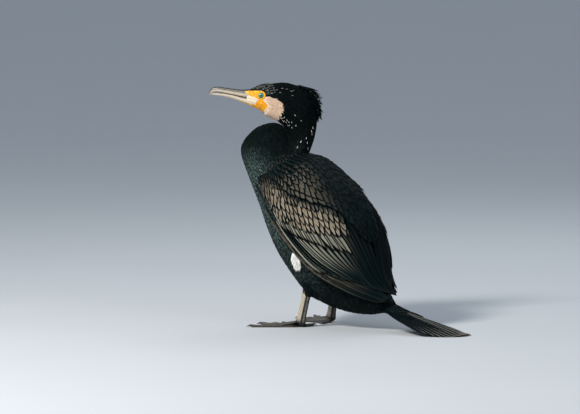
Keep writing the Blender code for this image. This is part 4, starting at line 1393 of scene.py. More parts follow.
@dataclass
class Coat:
    """The small feathers of the head, neck, breast, belly and thighs, laid on the skin."""

    skin: Surface
    cut: Cut = field(default_factory=lambda: Cut(top=(-1, -0.45, 0, 0.45, 1)))
    fine: Cut = field(default_factory=lambda: Cut(top=(-1, 0, 1), taper=0.35, point=0.05))
    patch: float = 0.003
    top_gap: float = 0.009  # how far the crop's places may be from the skin
    top_pitch: float = 0.0027  # metres between the feathers of the crop's top
    top_tone: float = 0.015  # least gloss of the trunk
    under_wing: float = 42.0  # degrees that the belly's feathers reach up under the wing
    wing_end: float = 11.4  # station behind which no wing covers them
    draw: np.random.Generator = field(default_factory=lambda: np.random.default_rng(SEED))

    def lay(
        self, places: Places, low: float, high: Array | float, cut: Cut, curve: float = 1.6, rim: float = 0.6,
        most_gap: float = 0.0042,
    ) -> Shape:
        """Feathers at their places.

        Args:
            places: where they root.
            low: height of their roots over the skin.
            high: height of their tips.
            cut: how they are cut.
            curve: how late they lift.
            rim: width of their dark margins, in millimetres.
            most_gap: how far from the skin a place may be.

        Returns:
            The feathers as one shape.
        """
        shares = cut.shares()
        count = len(places.root)
        reach = high * self.draw.uniform(0.7, 1.3, count)
        heights = low + (reach[:, None] - low) * shares[None] ** curve
        way = unit(places.way + self.draw.normal(0, 0.07, (count, 3)))
        path, normal, gap = self.skin.walk(places.root, way, places.length, heights, shares)
        kept = gap < most_gap
        path, normal, places = path[kept], normal[kept], places.kept(kept)
        count = len(path)
        lean = self.draw.normal(0, 0.05, count)
        seed = self.draw.random(count)
        made = cut.build(path, normal, places.wide, lean, places.tint, seed, rim)
        made.patch = cut.patches(places.chart, self.patch)
        return made

    @staticmethod
    def is_bare(points: Array) -> Array:
        """Whether points of the head are bare skin.

        Args:
            points: places in metres, (n, 3).

        Returns:
            True for each that is bare.
        """
        masks = Face.masks(points)
        bare = np.maximum.reduce([masks["yolk"], masks["gape"], masks["ring"], masks["border"]])
        local = HEAD.local(points)
        (least, most), (lowest, highest) = Face.BARE
        front = (local[:, 0] > least) & (local[:, 0] < most)
        return (bare > 0.35) | (front & (local[:, 1] > lowest) & (local[:, 1] < highest))

    def trunk(self, first: float, last: float) -> Shape:
        """The breast and belly, from one station to another, where no wing lies over them.

        Args:
            first: station where its rows start.
            last: station where they end.

        Returns:
            The feathers as one shape.
        """
        pitch = ((0, 0.0027), (3, 0.0034), (6, 0.0045), (10, 0.0055), (12, 0.0050))
        places, station, turn = Bed(TRUNK_LIE, first, last, pitch).places(self.draw)
        around = np.degrees(np.minimum(turn, 2 * np.pi - turn))
        start = np.interp(around, (0, 60, 95), (2.1, 2.0, 2.1))
        covered = (station > start) & (around < along_line(WING_LOW_EDGE, station) - self.under_wing)
        # More painted sheen on the front and sides of the breast, fading down the belly.
        front = smooth(50, 120, around) * smooth(0.3, 2.6, station)
        gloss = np.interp(station, (1.0, 2.0, 3.5, 5.0, 8.0), (0.85, 0.95, 0.70, 0.38, 0.06))
        tone = self.top_tone + front * gloss
        places.tint[:, 1] = tone * self.draw.uniform(0.35, 1.15, len(tone))
        keep = ~(covered & (station < self.wing_end)) & ~self.is_bare(places.root)
        if first < 1:
            places = Places.joined((places.kept(keep), self.cap(first)))
            return self.lay(places, -0.0002, 0.0007, self.cut, curve=1.2, most_gap=self.top_gap)
        return self.lay(places.kept(keep), -0.0007, 0.0010, self.cut)

    def cap(self, station: float) -> Places:
        """Places on the top of the crop, inside the first ring of the lie.

        Args:
            station: where on the lie that ring is.

        Returns:
            The places, lying outwards from the middle.
        """
        pitch, made = self.top_pitch, []
        edge = TRUNK_LIE.at(station, np.linspace(0, 2 * np.pi, 73)[:-1])
        edge = self.skin.nearest(edge)[0]
        middle = edge.mean(axis=0)
        reach = np.linalg.norm(edge - middle, axis=1).mean()
        rows = max(int(reach / (pitch * Bed.advance)), 2)
        for row in range(rows):
            share = (row + 0.35) / rows
            count = max(int(2 * np.pi * reach * share / pitch), 4)
            place = (np.arange(count) + 0.5 * (row % 2)) / count
            turn = 2 * np.pi * (place + self.draw.normal(0, 0.1) / count)
            rim = TRUNK_LIE.at(station, turn)
            root = self.skin.nearest(middle + (rim - middle) * share)[0]
            grow = self.draw.uniform(*Bed.grow, count)
            chart = np.stack([(turn / (2 * np.pi)) % 1, np.full(count, station * share)], axis=1)
            tint = plain_tint(count, self.top_tone)
            length, wide = pitch * Bed.length * grow, pitch * Bed.wide * grow
            made.append(Places(root, unit(rim - middle), length, wide, tint, chart))
        return Places.joined(made)

    def shoulders(self) -> Shape:
        """Small flecked feathers over the shoulders and the fore back, larger towards the wings.

        Returns:
            The feathers as one shape.
        """
        pitch = ((1.7, 0.0042), (2.4, 0.0056), (3.4, 0.0078))
        bed = Bed(TRUNK_LIE, 1.75, 3.5, pitch, length=2.6, wide=0.56)
        places, station, turn = bed.places(self.draw)
        around = np.degrees(np.minimum(turn, 2 * np.pi - turn))
        places.tint[:, 0] = 0.24 * smooth(1.55, 2.3, station) * smooth(8, 30, around)
        places.tint[:, 0] *= self.draw.uniform(0.5, 1.3, len(station))
        places.tint[:, 1] = 0.05
        keep = (around < np.interp(station, (1.7, 2.2, 2.6), (62, 92, 104))) & (station < 3.5)
        return self.lay(places.kept(keep), -0.0006, 0.0013, self.cut, rim=1.3)

    def neck(self) -> Shape:
        """The neck, from behind the crown down to the crop.

        Returns:
            The feathers as one shape.
        """
        pitch = ((2.2, 0.0024), (5, 0.0029), (10, 0.0033))
        places, station, turn = Bed(NECK_LIE, 2.4, 9.9, pitch, length=3.6).places(self.draw)
        sides = np.abs(np.sin(turn))
        # painted sheen on the sides of the lower neck
        tone = 0.010 + 0.08 * smooth(5.5, 9, station) * sides
        places.tint[:, 1] = tone * self.draw.uniform(0.4, 1.2, len(tone))
        dark = ~self.is_bare(places.root) & ~self.is_cheek(places.root)
        return self.lay(places.kept(dark), -0.0006, 0.0007, self.fine)

    def head(self) -> Shape:
        """The crown, forehead, chin and cheeks.

        Returns:
            The feathers as one shape.
        """
        pitch = ((0, 0.0015), (2.5, 0.0020))
        places, station, _ = Bed(NECK_LIE, 0.05, 2.5, pitch, length=3.2).places(self.draw)
        local = HEAD.local(places.root)
        brow = smooth(-20, -8, local[:, 0]) * smooth(-1, 4, local[:, 1])
        # painted sheen over the brow
        places.tint[:, 1] = 0.02 + 0.30 * brow * self.draw.uniform(0.2, 1.0, len(station))
        fleck = self.draw.random(len(station)) < 0.26 * brow
        places.tint[:, 2] = np.where(fleck, self.draw.uniform(0.08, 0.36, len(station)), 0)
        places.wide *= 1 - 0.35 * brow
        dark = ~self.is_bare(places.root) & ~self.is_cheek(places.root)
        return self.lay(places.kept(dark), -0.0003, 0.0004, self.fine)

    def cheeks(self) -> Shape:
        """The pale, hair-like feathers of the cheeks and chin.

        Returns:
            The feathers as one shape.
        """
        pitch = ((0, 0.0014), (4.5, 0.0017))
        places, _, _ = Bed(NECK_LIE, 0.5, 5.2, pitch, wide=0.36).places(self.draw)
        places.tint[:, 2] = self.draw.uniform(0.80, 1.0, len(places.root))
        pale = self.is_cheek(places.root) & ~self.is_bare(places.root)
        return self.lay(places.kept(pale), -0.0002, 0.0009, self.fine)

    def is_cheek(self, points: Array) -> Array:
        """Whether points lie on the pale cheeks, with a ragged edge.

        Args:
            points: places in metres, (n, 3).

        Returns:
            True for each that is on a cheek.
        """
        local = HEAD.local(points)
        rear = smooth(-10, -18, local[:, 0]) * smooth(-40, -34, local[:, 1])
        ragged = 0.9 * np.sin(local @ np.array((7.1, 9.7, 3.3)))
        depth = inside(local[:, :2], Face.CHEEK) + ragged * rear + 1.6 * (1 - rear)
        return (depth > 0) & (local[:, 0] > -50)


def chart_walk(points: Line, place: Array) -> Array:
    """Places on a smooth line through (station, turn) points, at shares of the whole."""
    rows = np.asarray(points, float)
    return through(rows, place * (len(rows) - 1))


@dataclass(frozen=True)
class WingRow:
    """A row of wing feathers, from the wing's low edge to the back.

    Roots and tips are lines of (station, turn). The width is a share of the space between
    neighbours, and the heights over the wing's lie are those of the roots and tips.
    """

    name: str
    count: int
    roots: Line | None  # or none, where each runs the same way to its tip
    tips: Line
    run: tuple[float, float] = (1.3, 6.0)  # stations and degrees from root to tip, without roots
    wide: float = 0.62
    low: float = -0.0018
    high: float = 0.0013
    cut: Cut = Cut(
        top=(-1, -0.7, -0.35, -0.07, 0, 0.07, 0.35, 0.7, 1), under=(0.55, -0.55), sections=10,
        root=0.6, swell=0.5, taper=0.42, power=1.65, point=0.10,
    )
    tilt: float = -0.12
    buff: float = 1.0
    fade: tuple[float, float] | None = None  # stations over which the buff goes
    shift: float = 0.0  # 0.5 sets the row between the feathers of the last
    growth: float = 1.0  # over 1, the spaces grow towards the back
    rim: float = 2.1  # millimetres of black round each
    tone: float = 0.5
    over_crease: bool = False


FLIGHT_CUT = Cut(
    top=(-1, -0.7, -0.35, -0.06, 0, 0.06, 0.35, 0.7, 1), under=(0.55, -0.55), sections=16,
    root=0.8, swell=0.3, taper=0.80, power=2.0, point=0.12, camber=0.10,
)
# Where the buff ends towards the back, as (station, degrees).
BUFF_LIMIT = (
    (2.6, 22), (3.0, 23), (3.5, 26), (4.5, 33), (5.5, 37), (6.5, 39), (7.5, 42), (8.5, 48), (10, 60),
)
WING_ROWS = (
    WingRow(
        "primaries", 9, ((3.5, 113), (4.4, 109), (5.8, 97)),
        ((11.7, 80), (12.1, 70), (12.3, 58), (12.3, 44)),
        wide=0.80, low=-0.0026, high=-0.0008, cut=FLIGHT_CUT, tilt=-0.18, buff=0.40, fade=(7.4, 11.2),
        rim=1.3, tone=0.55,
    ),
    WingRow(
        "edge_feathers", 15, None, ((3.0, 112.5), (4.2, 109.5), (5.2, 105), (6.2, 100)), run=(0.9, -3.5),
        wide=0.22, low=-0.0016, high=0.0002, buff=0.50, rim=0.35, tone=0.6,
    ),
    WingRow(
        "secondaries", 18, ((4.4, 104), (5.8, 86), (7.0, 50)),
        ((7.8, 89), (9.0, 76), (9.8, 64), (10.6, 50)),
        low=-0.0024, high=0.0006, cut=FLIGHT_CUT, tilt=-0.22, fade=(6.3, 9.5), rim=1.9, tone=0.92,
    ),
    WingRow(
        "tertials", 8, ((6.2, 52), (6.3, 36), (6.4, 19)), ((10.9, 52), (11.9, 36), (12.6, 15)),
        wide=0.80, high=0.0012, cut=FLIGHT_CUT, tilt=-0.14, buff=0.10, fade=(7.5, 10), rim=2.0,
    ),
    WingRow(
        "greater_coverts", 20, None, ((4.9, 98), (5.95, 83), (6.95, 68), (8.2, 47)), run=(1.9, -2),
        low=-0.0020, high=0.0009, rim=1.85, tone=0.84, tilt=-0.18, buff=0.90,
    ),
    WingRow(
        "median_coverts_low", 17, None, ((4.35, 99), (5.4, 83), (6.25, 65), (7.35, 40)), run=(1.35, 4.5),
        high=0.0010, shift=0.5,
    ),
    WingRow(
        "median_coverts", 17, None, ((4.0, 101), (5.0, 83), (5.9, 63), (6.9, 39)), run=(1.25, 5),
        low=-0.0017, high=0.0012,
    ),
    WingRow(
        "median_coverts_high", 17, None, ((3.7, 103), (4.6, 82), (5.5, 62), (6.45, 39)), run=(1.2, 5),
        low=-0.0016, shift=0.5,
    ),
    WingRow(
        "lesser_coverts_low", 20, None, ((3.4, 105), (4.2, 81), (5.1, 60), (6.0, 39)), run=(1.1, 5),
        low=-0.0015, high=0.0014, rim=1.9, buff=0.95,
    ),
    WingRow(
        "lesser_coverts", 22, None, ((3.1, 104), (3.85, 80), (4.7, 58), (5.6, 39)), run=(0.95, 4.5),
        low=-0.0014, high=0.0014, shift=0.5, rim=1.6, buff=0.85,
    ),
    WingRow(
        "marginal_coverts_low", 24, None, ((2.8, 104), (3.5, 80), (4.3, 60), (5.1, 42)), run=(0.75, 4),
        low=-0.0013, high=0.0014, buff=0.65, rim=1.4,
    ),
    WingRow(
        "marginal_coverts", 18, None, ((2.60, 103), (3.1, 86), (3.5, 73), (4.0, 62)), run=(0.6, 3),
        low=-0.0013, shift=0.5, buff=0.42, rim=1.3,
    ),
    WingRow(
        "shoulder_coverts", 14, None, ((2.35, 100), (2.8, 87), (3.2, 76)), run=(0.5, 2),
        low=-0.0013, high=0.0012, buff=0.26, rim=1.2,
    ),
)
# Tips of the lowest scapulars, and of the row next to the middle of the back.
CREASE = ((2.9, 80), (3.25, 75), (4.0, 69), (4.7, 56), (5.5, 40), (6.4, 31), (7.8, 26))
BACK_LINE = ((2.8, 7), (3.0, 7), (3.4, 8), (4.0, 10), (4.9, 13), (6.2, 15), (8.2, 17))


@dataclass
class Wing:
    """One folded wing, feather by feather."""

    side: int
    scapular_rows: int = 10
    scapular_counts: tuple[int, int] = (20, 13)
    crease_lift: float = 0.0044  # height of the lowest scapulars' tips
    first: float = 2.5  # station before which no covert roots
    brown_back: float = 7.0  # degrees that the scapulars' brown keeps off the limit
    far_limit: float = 14.0  # degrees that the buff of the right wing keeps off the back
    drawn_in: float = 0.0  # stations that the flight feathers' tips are drawn in by
    tip_run: tuple[float, float] = (10.0, 12.0)  # stations over which they are drawn in
    soft_edge: tuple[float, float] = (6.0, 15.0)  # degrees of the buff's edge, of wing and back
    # painted shadow of the crease: share of the buff that is left under the scapulars
    painted_crease_shade: float = 0.08  # of the buff, left under the scapulars
    fore_dim: float = 0.65  # of the buff, gone at the front of the low edge
    wobble: tuple[float, float] = (0.035, 0.5)  # stations and degrees that tips stray
    bow: float = 0.6  # degrees that a feather bends on its way
    finish: FeatherFinish = FeatherFinish("wing_feathers", gloss=(0.0038, 0.0090, 0.0105), shaft_tone=0.50)

    def __post_init__(self) -> None:
        """Sets up the wing's lie and its own run of random numbers."""
        self.chart = WingChart(self.side)
        self.draw = np.random.default_rng(SEED + 2 + self.side)

    def even(self, row: WingRow) -> Array:
        """Where the feathers of a row stand, as shares of the line of its tips.

        Args:
            row: the row.

        Returns:
            A share for each feather.
        """
        share = np.linspace(0, 1, 200)
        place = chart_walk(row.tips, share)
        point, _ = self.chart.at(place[:, 0], place[:, 1])
        run = reached(point)
        part = (np.arange(row.count) + row.shift) / (row.count - 0.5)
        return np.interp(part**row.growth * run[-1], run, share)

    def row(self, row: WingRow, share: Array) -> Shape:
        """All feathers of one row.

        Args:
            row: the row.
            share: where its feathers stand on the line of its tips.

        Returns:
            The feathers as one shape.
        """
        tip = chart_walk(row.tips, share)
        root = chart_walk(row.roots, share) if row.roots else tip - np.array(row.run)
        tip = tip + self.draw.normal(0, 1, (row.count, 2)) * (self.wobble,)
        if row.cut is FLIGHT_CUT:
            tip[:, 0] -= self.drawn_in * smooth(*self.tip_run, tip[:, 0])
        steps = row.cut.shares()
        place = root[:, None] + (tip - root)[:, None] * steps[None, :, None]
        bow = np.sin(np.pi * steps) * self.bow
        place[..., 1] += bow[None] * self.draw.normal(1.0, 0.5, (row.count, 1))
        least = along_line(PARTING, place[..., 0]) + 0.5
        place[..., 1] = np.maximum(place[..., 1], least)
        if not row.over_crease:
            place[..., 0] = np.maximum(place[..., 0], self.first)
        height = row.low + (row.high - row.low) * steps**1.3
        lift = self.draw.normal(0, 0.00015, (row.count, 1)) * steps
        path, normal = self.chart.at(place[..., 0], place[..., 1], height[None] + lift)
        middle = path[:, len(steps) * 6 // 10]
        space = np.linalg.norm(np.gradient(middle, axis=0), axis=1)
        wide = space * row.wide * self.draw.uniform(0.93, 1.07, row.count)
        lean = np.full(row.count, row.tilt * self.side)
        limit = along_line(BUFF_LIMIT, place[..., 0]) + self.far_limit * (self.side < 0)
        limit = limit + self.brown_back * row.over_crease
        soft = self.soft_edge[row.over_crease]
        buff = smooth(-soft, soft, place[..., 1] - limit) * row.buff
        if row.fade:
            buff = buff * smooth(row.fade[1], row.fade[0], place[..., 0])
        # Rows under the crease keep little of their buff: painted shadow of the scapulars that lie over them.
        under_crease = along_line(CREASE, place[..., 0]) - place[..., 1]
        dim = self.painted_crease_shade + (1 - self.painted_crease_shade) * smooth(-1, -12, under_crease)
        dim = 1.0 if row.over_crease else dim
        fore = smooth(94, 110, place[..., 1]) * smooth(4.6, 3.2, place[..., 0])
        dim = dim * smooth(2.3, 3.5, place[..., 0]) * (1 - self.fore_dim * fore)
        buff = buff * dim * self.draw.uniform(0.82, 1.10, (row.count, 1))
        tone = np.full(buff.shape, row.tone)
        tint = np.stack([buff, tone, np.zeros(buff.shape)], axis=-1)
        return row.cut.build(path, normal, wide, lean, tint, self.draw.random(row.count), row.rim)

    def scapulars(self) -> list[WingRow]:
        """Rows of feathers from the crease over the arm up to the middle of the back.

        Returns:
            The rows, from the lowest up.
        """
        rows = []
        low_line, high_line = np.array(CREASE), np.array(BACK_LINE)
        low_count, high_count = self.scapular_counts
        for i in range(self.scapular_rows):
            share = i / (self.scapular_rows - 1)
            tips = low_line + (high_line - low_line) * share
            tips[:, 0] -= 0.10 * share
            reach = np.interp(np.arange(len(tips)), (0, 3, 6), (0.50, 1.0, 2.1))
            roots = tips - np.stack([reach, -reach * (0.5 + 2.5 * share)], axis=1)
            count = round(low_count + (high_count - low_count) * share)
            high = float(np.interp(i, (0, 1, 2, 10), (self.crease_lift, 0.0042, 0.0028, 0.0008)))
            rows.append(
                WingRow(
                    "scapulars_%d" % i, count, tuple(map(tuple, roots)), tuple(map(tuple, tips)),
                    wide=0.66, low=-0.0006, high=high,
                    cut=Cut(
                        top=(-1, -0.6, -0.06, 0, 0.06, 0.6, 1), sections=8,
                        root=0.6, swell=0.5, taper=0.45, power=1.7, point=0.10, camber=0.20 - 0.10 * share,
                    ),
                    tilt=-0.05, buff=0.34 - 0.20 * share, fade=(3.6, 2.0), shift=0.5 * (i % 2), growth=1.2,
                    rim=2.5, over_crease=True,
                )
            )
        return rows

    def build(self, name: str, node: str) -> None:
        """Makes the wing and puts it in the scene.

        Args:
            name: the piece's name.
            node: the solid that it stands for.
        """
        shapes = []
        rows = [*WING_ROWS, *self.scapulars()]
        cell = 1 / (len(rows) + 1)
        for number, row in enumerate(rows):
            share = self.even(row)
            made = self.row(row, share)
            place = np.stack([0.04 + 0.92 * share, np.full(row.count, (number + 1) * cell)], axis=1)
            made.patch = row.cut.patches(place, min(0.85 * cell, 0.85 * 0.92 / row.count))
            shapes.append(made)
        shape = Shape.joined(shapes)
        put(name, shape.mesh(name), self.finish, Slot.WING, node)


@dataclass
class Plumes:
    """Feathers that stand apart: crest locks, white flecks, thigh tufts and tail coverts."""

    coat: Coat
    nape_count: int = 260
    nape_tone: float = 0.02  # gloss of the crest too
    nape_reach: Line = (  # (station, metres that the tips stand out)
        (3.5, 0.0002), (4.2, 0.0008), (4.8, 0.0045), (5.5, 0.0070), (6.0, 0.0055), (6.6, 0.0025),
    )
    nape_length: Line = ((3.5, 0.012), (4.8, 0.017), (5.6, 0.017), (6.6, 0.013))
    nape_cut: Cut = Cut(top=(-1, 0, 1), sections=7, root=0.8, swell=0.2, taper=0.15, power=1.2, point=0.04)
    locks: tuple[tuple[float, float, float], ...] = (  # station of the root, and the tip on the head
        (4.05, -84.0, 4.6), (4.25, -90.0, 4.8), (4.45, -94.5, 6.6), (4.70, -94.0, 2.0), (4.95, -98.0, -0.6),
        (5.15, -101.5, -6.2), (5.35, -99.5, -10.4), (5.55, -102.5, -16.4), (5.75, -100.5, -22.0),
        (5.95, -103.0, -30.4), (6.15, -100.5, -34.6), (6.35, -99.8, -42.0),
    )
    strands: int = 20  # of each lock
    lock_turn: float = 0.32  # how far round the nape a strand may root
    lock_spread: float = 0.015  # how far its tip then stands to that side
    lock_cut: Cut = Cut(top=(-1, 0, 1), sections=9, root=0.9, swell=0.2, taper=0.10, power=1.25, point=0.03)
    fleck_cut: Cut = Cut(top=(-1, 0, 1), root=0.5, power=1.8, point=0.10)
    flecks: Line = (  # millimetres ahead of and above the eye
        (-9.9, 11.6), (-21.5, 5), (-29.7, 5), (-41.3, 11.6), (-47.9, 7.4), (-53.6, 10.6), (-50.0, -1),
        (-25, 10), (-15, 9), (-13, 14), (-33, 13), (-19, 14), (-6, 16),
        (-31.4, -33), (-34.7, -38), (-38, -34.7), (-41.3, -39.6), (-44.6, -42.9), (-36.3, -42.9),
        (-30, -38), (-33, -44), (-39, -46.5), (-50.5, -42.9), (-56.1, -30.2), (-66, -40.3),
        (-41.3, -51.2), (-49.5, -52.3), (-45, -49.5), (-84, -57.4), (-86.5, -62.2), (-87.3, -51.8),
        (-73.6, -68.3), (-66.8, -74.6), (-75.9, -76.6), (-62, -84.6), (-78.4, -85.8), (-58, -48),
    )
    patch_middle: tuple[float, float, float] = (0.058, -0.0635, 0.1160)  # of the white on each thigh
    patch_reach: tuple[float, float] = (0.0098, 0.0130)
    patch_count: int = 420

    def crest(self) -> Shape:
        """Pointed locks that stand off the nape, each a bundle of strands that meet at its tip.

        Returns:
            The feathers as one shape.
        """
        draw = self.coat.draw
        spots = np.repeat(np.array(self.locks), self.strands, axis=0)
        count = len(spots)
        turn = np.clip(draw.normal(0, 0.20, count), -self.lock_turn, self.lock_turn)
        station = spots[:, 0] + draw.uniform(-0.18, 0.18, count)
        root = NECK_LIE.at(station, turn, -0.0015)
        tip = HEAD.place(spots[:, 1] * MM, spots[:, 2] * MM)
        tip = tip + HEAD.left * (np.sin(turn) * self.lock_spread)[:, None]
        tip = tip + draw.normal(0, 0.0009, (count, 3))
        tip = root + (tip - root) * draw.uniform(0.62, 1.0, count)[:, None]
        ahead = unit(NECK_LIE.at(station + 0.05, turn) - root)
        arch = np.interp(spots[:, 0], (4.2, 4.7), (0.28, 0.45))
        bend = root + ahead * (arch * np.linalg.norm(tip - root, axis=1))[:, None]
        share = self.lock_cut.shares()[None, :, None]
        path = (1 - share) ** 2 * root[:, None] + 2 * share * (1 - share) * bend[:, None]
        path = path + share**2 * tip[:, None]
        normal = np.repeat(NECK_LIE.normal(station, turn)[:, None], path.shape[1], axis=1)
        tint = plain_tint(count, self.nape_tone)
        wide, lean = draw.uniform(0.0008, 0.0015, count), draw.normal(0, 0.2, count)
        made = self.lock_cut.build(path, normal, wide, lean, tint, draw.random(count))
        chart = np.stack([0.5 + turn * 0.3, station / 10], axis=1)
        made.patch = self.lock_cut.patches(chart, self.coat.patch)
        return made

    def nape(self) -> Shape:
        """Loose feathers that lift off the nape under the crest.

        Returns:
            The feathers as one shape.
        """
        draw = self.coat.draw
        count = self.nape_count
        first, last = self.nape_reach[0][0], self.nape_reach[-1][0]
        station = np.linspace(first, last, count)
        turn = draw.normal(0, 0.24, count)
        root = NECK_LIE.at(station, turn)
        way = unit(NECK_LIE.at(station + 0.05, turn) - root)
        length = along_line(self.nape_length, station) * draw.uniform(0.75, 1.10, count)
        reach = along_line(self.nape_reach, station) * np.exp(-((turn / 0.55) ** 2))
        tint = plain_tint(count, self.nape_tone)
        chart = np.stack([0.5 + turn * 0.3, station / 10], axis=1)
        wide = draw.uniform(0.0008, 0.0016, count)
        places = Places(root, way, length, wide, tint, chart)
        return self.coat.lay(places, -0.0012, reach, self.nape_cut, curve=1.15)

    def white_flecks(self) -> Shape:
        """Small white plumes on the crown, the side of the neck and the nape.

        Returns:
            The feathers as one shape.
        """
        spots = np.array(self.flecks)
        lots = []
        for side in (1, -1):
            root = HEAD.place(spots[:, 0] * MM, spots[:, 1] * MM, side * 0.018)
            root, way, turn, station = self.on_neck(root)
            count = len(root)
            tint = np.zeros((count, 3))
            faint = np.where(spots[:, 1] > -5, 0.30, 0.85)
            tint[:, 2] = faint * self.coat.draw.uniform(0.80, 1.15, count)
            chart = np.stack([0.5 + side * 0.2 + turn * 0.01, station / 10], axis=1)
            length = self.coat.draw.uniform(0.0022, 0.0046, count)
            wide = self.coat.draw.uniform(0.00030, 0.00055, count)
            lots.append(Places(root, way, length, wide, tint, chart))
        return self.coat.lay(Places.joined(lots), 0.0005, 0.0021, self.fleck_cut, curve=1.0)

    @staticmethod
    def on_neck(points: Array) -> tuple[Array, Array, Array, Array]:
        """The nearest places on the lie of the neck, with the way down it, turns and stations.

        Args:
            points: places near the neck, (n, 3).

        Returns:
            The roots, the ways, the turns and the stations.
        """
        station, turn = np.meshgrid(np.linspace(0, 10, 260), np.linspace(0, 2 * np.pi, 120), indexing="ij")
        station, turn = station.ravel(), turn.ravel()
        lie = NECK_LIE.at(station, turn)
        near = np.array([int(np.argmin(((lie - point) ** 2).sum(axis=1))) for point in points])
        station, turn = station[near], turn[near]
        root = NECK_LIE.at(station, turn)
        return root, unit(NECK_LIE.at(station + 0.02, turn) - root), turn, station

    def thighs(self) -> Shape:
        """Long soft feathers down each thigh.

        Returns:
            The feathers as one shape.
        """
        lots = []
        draw = self.coat.draw
        rows, around = 26, 34
        sizes = np.array(THIGH_SIZES)
        for side in (1, -1):
            knee, end, ahead, over, across = thigh_line(side)
            share = np.repeat(np.linspace(0.02, 0.99, rows), around)
            turn = np.tile(np.linspace(0, 2 * np.pi, around, endpoint=False), rows)
            turn = turn + draw.normal(0, 0.07, len(turn))
            share = np.clip(share + draw.normal(0, 0.02, len(share)), 0, 0.995)
            size = through(sizes, share * (len(sizes) - 1))
            ring = across * (size[:, :1] * np.sin(turn)[:, None])
            ring = ring + over * (size[:, 1:] * np.cos(turn)[:, None])
            root = knee + (end - knee) * share[:, None] + ring
            way = unit(ahead + 0.10 * unit(ring) + draw.normal(0, 0.06, root.shape))
            tint = plain_tint(len(root), 0.06)
            length = draw.uniform(0.011, 0.016, len(root))
            wide = draw.uniform(0.0011, 0.0019, len(root))
            chart = np.stack([0.25 + side * 0.2 + turn / 40, 0.02 + 0.9 * share], axis=1)
            lots.append(Places(root, way, length, wide, tint, chart))
        return self.coat.lay(Places.joined(lots), -0.0004, 0.0022, self.coat.cut, curve=1.2)

    def patches(self) -> Shape:
        """The ragged white patch high on the outside of each thigh.

        Returns:
            The feathers as one shape.
        """
        draw = self.coat.draw
        lots = []
        count = self.patch_count
        for side in (1, -1):
            angle, reach = draw.uniform(0, 2 * np.pi, count), np.sqrt(draw.random(count))
            spot = np.array(self.patch_middle) * np.array((side, 1, 1)) + np.zeros((count, 3))
            spot[:, 1] += reach * np.cos(angle) * self.patch_reach[0]
            spot[:, 2] += reach * np.sin(angle) * self.patch_reach[1]
            root, _, _ = self.coat.skin.nearest(spot)
            way = unit(np.array((0.0, 0.22, -1.0)) + draw.normal(0, 0.13, root.shape))
            tint = np.zeros((count, 3))
            tint[:, 2] = draw.uniform(0.95, 1.0, count)
            chart = np.stack([0.25 + side * 0.2 + 0.02 * np.cos(angle), 0.3 + 0.05 * reach], axis=1)
            length, wide = draw.uniform(0.004, 0.009, count), draw.uniform(0.0006, 0.0012, count)
            low = (np.sin(angle) < 0) & (np.cos(angle) < 0.2)
            length = np.where(low & (draw.random(count) < 0.18), 2.0 * length, length)
            lots.append(Places(root, way, length, wide, tint, chart))
        return self.coat.lay(Places.joined(lots), 0.0008, 0.0034, self.coat.cut, curve=1.0)

    def rump(self) -> Shape:
        """Longer feathers over and under the root of the tail.

        Returns:
            The feathers as one shape.
        """
        draw = self.coat.draw
        rows, around = 20, 30
        first, last = -0.026, 0.046
        distance = np.repeat(np.linspace(first, last, rows), around)
        turn = np.tile(np.linspace(0, 2 * np.pi, around, endpoint=False), rows)
        between = np.repeat(np.arange(rows) % 2, around) * np.pi / around
        turn = turn + draw.normal(0, 0.06, len(turn)) + between
        table = np.array(TAIL_COVERTS)
        wide = np.interp(distance, table[:, 0], table[:, 1])
        deep = np.interp(distance, table[:, 0], table[:, 2])
        height = tail_line(distance) - deep / 4
        middle = np.stack([np.zeros(len(distance)), TAIL_ROOT[1] + distance, height], axis=1)
        root = middle + LEFT * (wide * np.sin(turn))[:, None] + UP * (deep * np.cos(turn))[:, None]
        way = unit(np.array((0.0, 1.0, -0.28)) + LEFT * 0.14 * np.sin(turn)[:, None])
        tint = plain_tint(len(root), 0.04)
        chart = np.stack([0.75 + turn / 40, 0.02 + (distance - first) * 12], axis=1)
        length = draw.uniform(0.015, 0.021, len(root))
        places = Places(root, way, length, np.full(len(root), 0.0027), tint, chart)
        made = self.coat.lay(places, -0.0006, 0.0012, self.coat.cut)
        made.points[:, 2] = np.maximum(made.points[:, 2], 0.0002)
        return made


@dataclass
class Plumage:
    """The skin and all the small feathers that lie on it."""

    skin: Skin = field(default_factory=Skin)
    finish: FeatherFinish = FeatherFinish("plumage")
    cheek: FeatherFinish = FeatherFinish(
        "cheek_plumage", white=(0.900, 0.670, 0.500), brown=(0.480, 0.300, 0.180), speckle=0.6,
    )
    patch: FeatherFinish = FeatherFinish("patch_plumage", white=(0.960, 0.950, 0.910))
    most: int = 200_000

    def build(self) -> None:
        """Makes the skin and its coat, piece by piece."""
        mesh = self.skin.build()
        coat = Coat(Surface(mesh))
        put("skin", mesh, SkinFinish(), Slot.PLUMAGE, *self.skin.nodes)
        plumes = Plumes(coat)
        pieces: dict[str, Callable[[], Shape]] = {
            "crop_feathers": lambda: coat.trunk(0.02, 1.5),
            "breast_feathers": lambda: coat.trunk(1.5, 4.4),
            "belly_feathers": lambda: coat.trunk(4.4, 11.8),
            "shoulder_feathers": coat.shoulders,
            "neck_feathers": coat.neck,
            "head_feathers": coat.head,
            "cheek_feathers": coat.cheeks,
            "crest": plumes.crest,
            "nape_feathers": plumes.nape,
            "white_flecks": plumes.white_flecks,
            "thigh_feathers": plumes.thighs,
            "thigh_patches": plumes.patches,
            "tail_coverts": plumes.rump,
        }
        finishes = {"cheek_feathers": self.cheek, "thigh_patches": self.patch}
        for name, make in pieces.items():
            shape = make()
            if shape.triangles > self.most:
                LOG.warning("%s has %d triangles", name, shape.triangles)
            put(name, shape.mesh(name), finishes.get(name, self.finish), Slot.PLUMAGE)


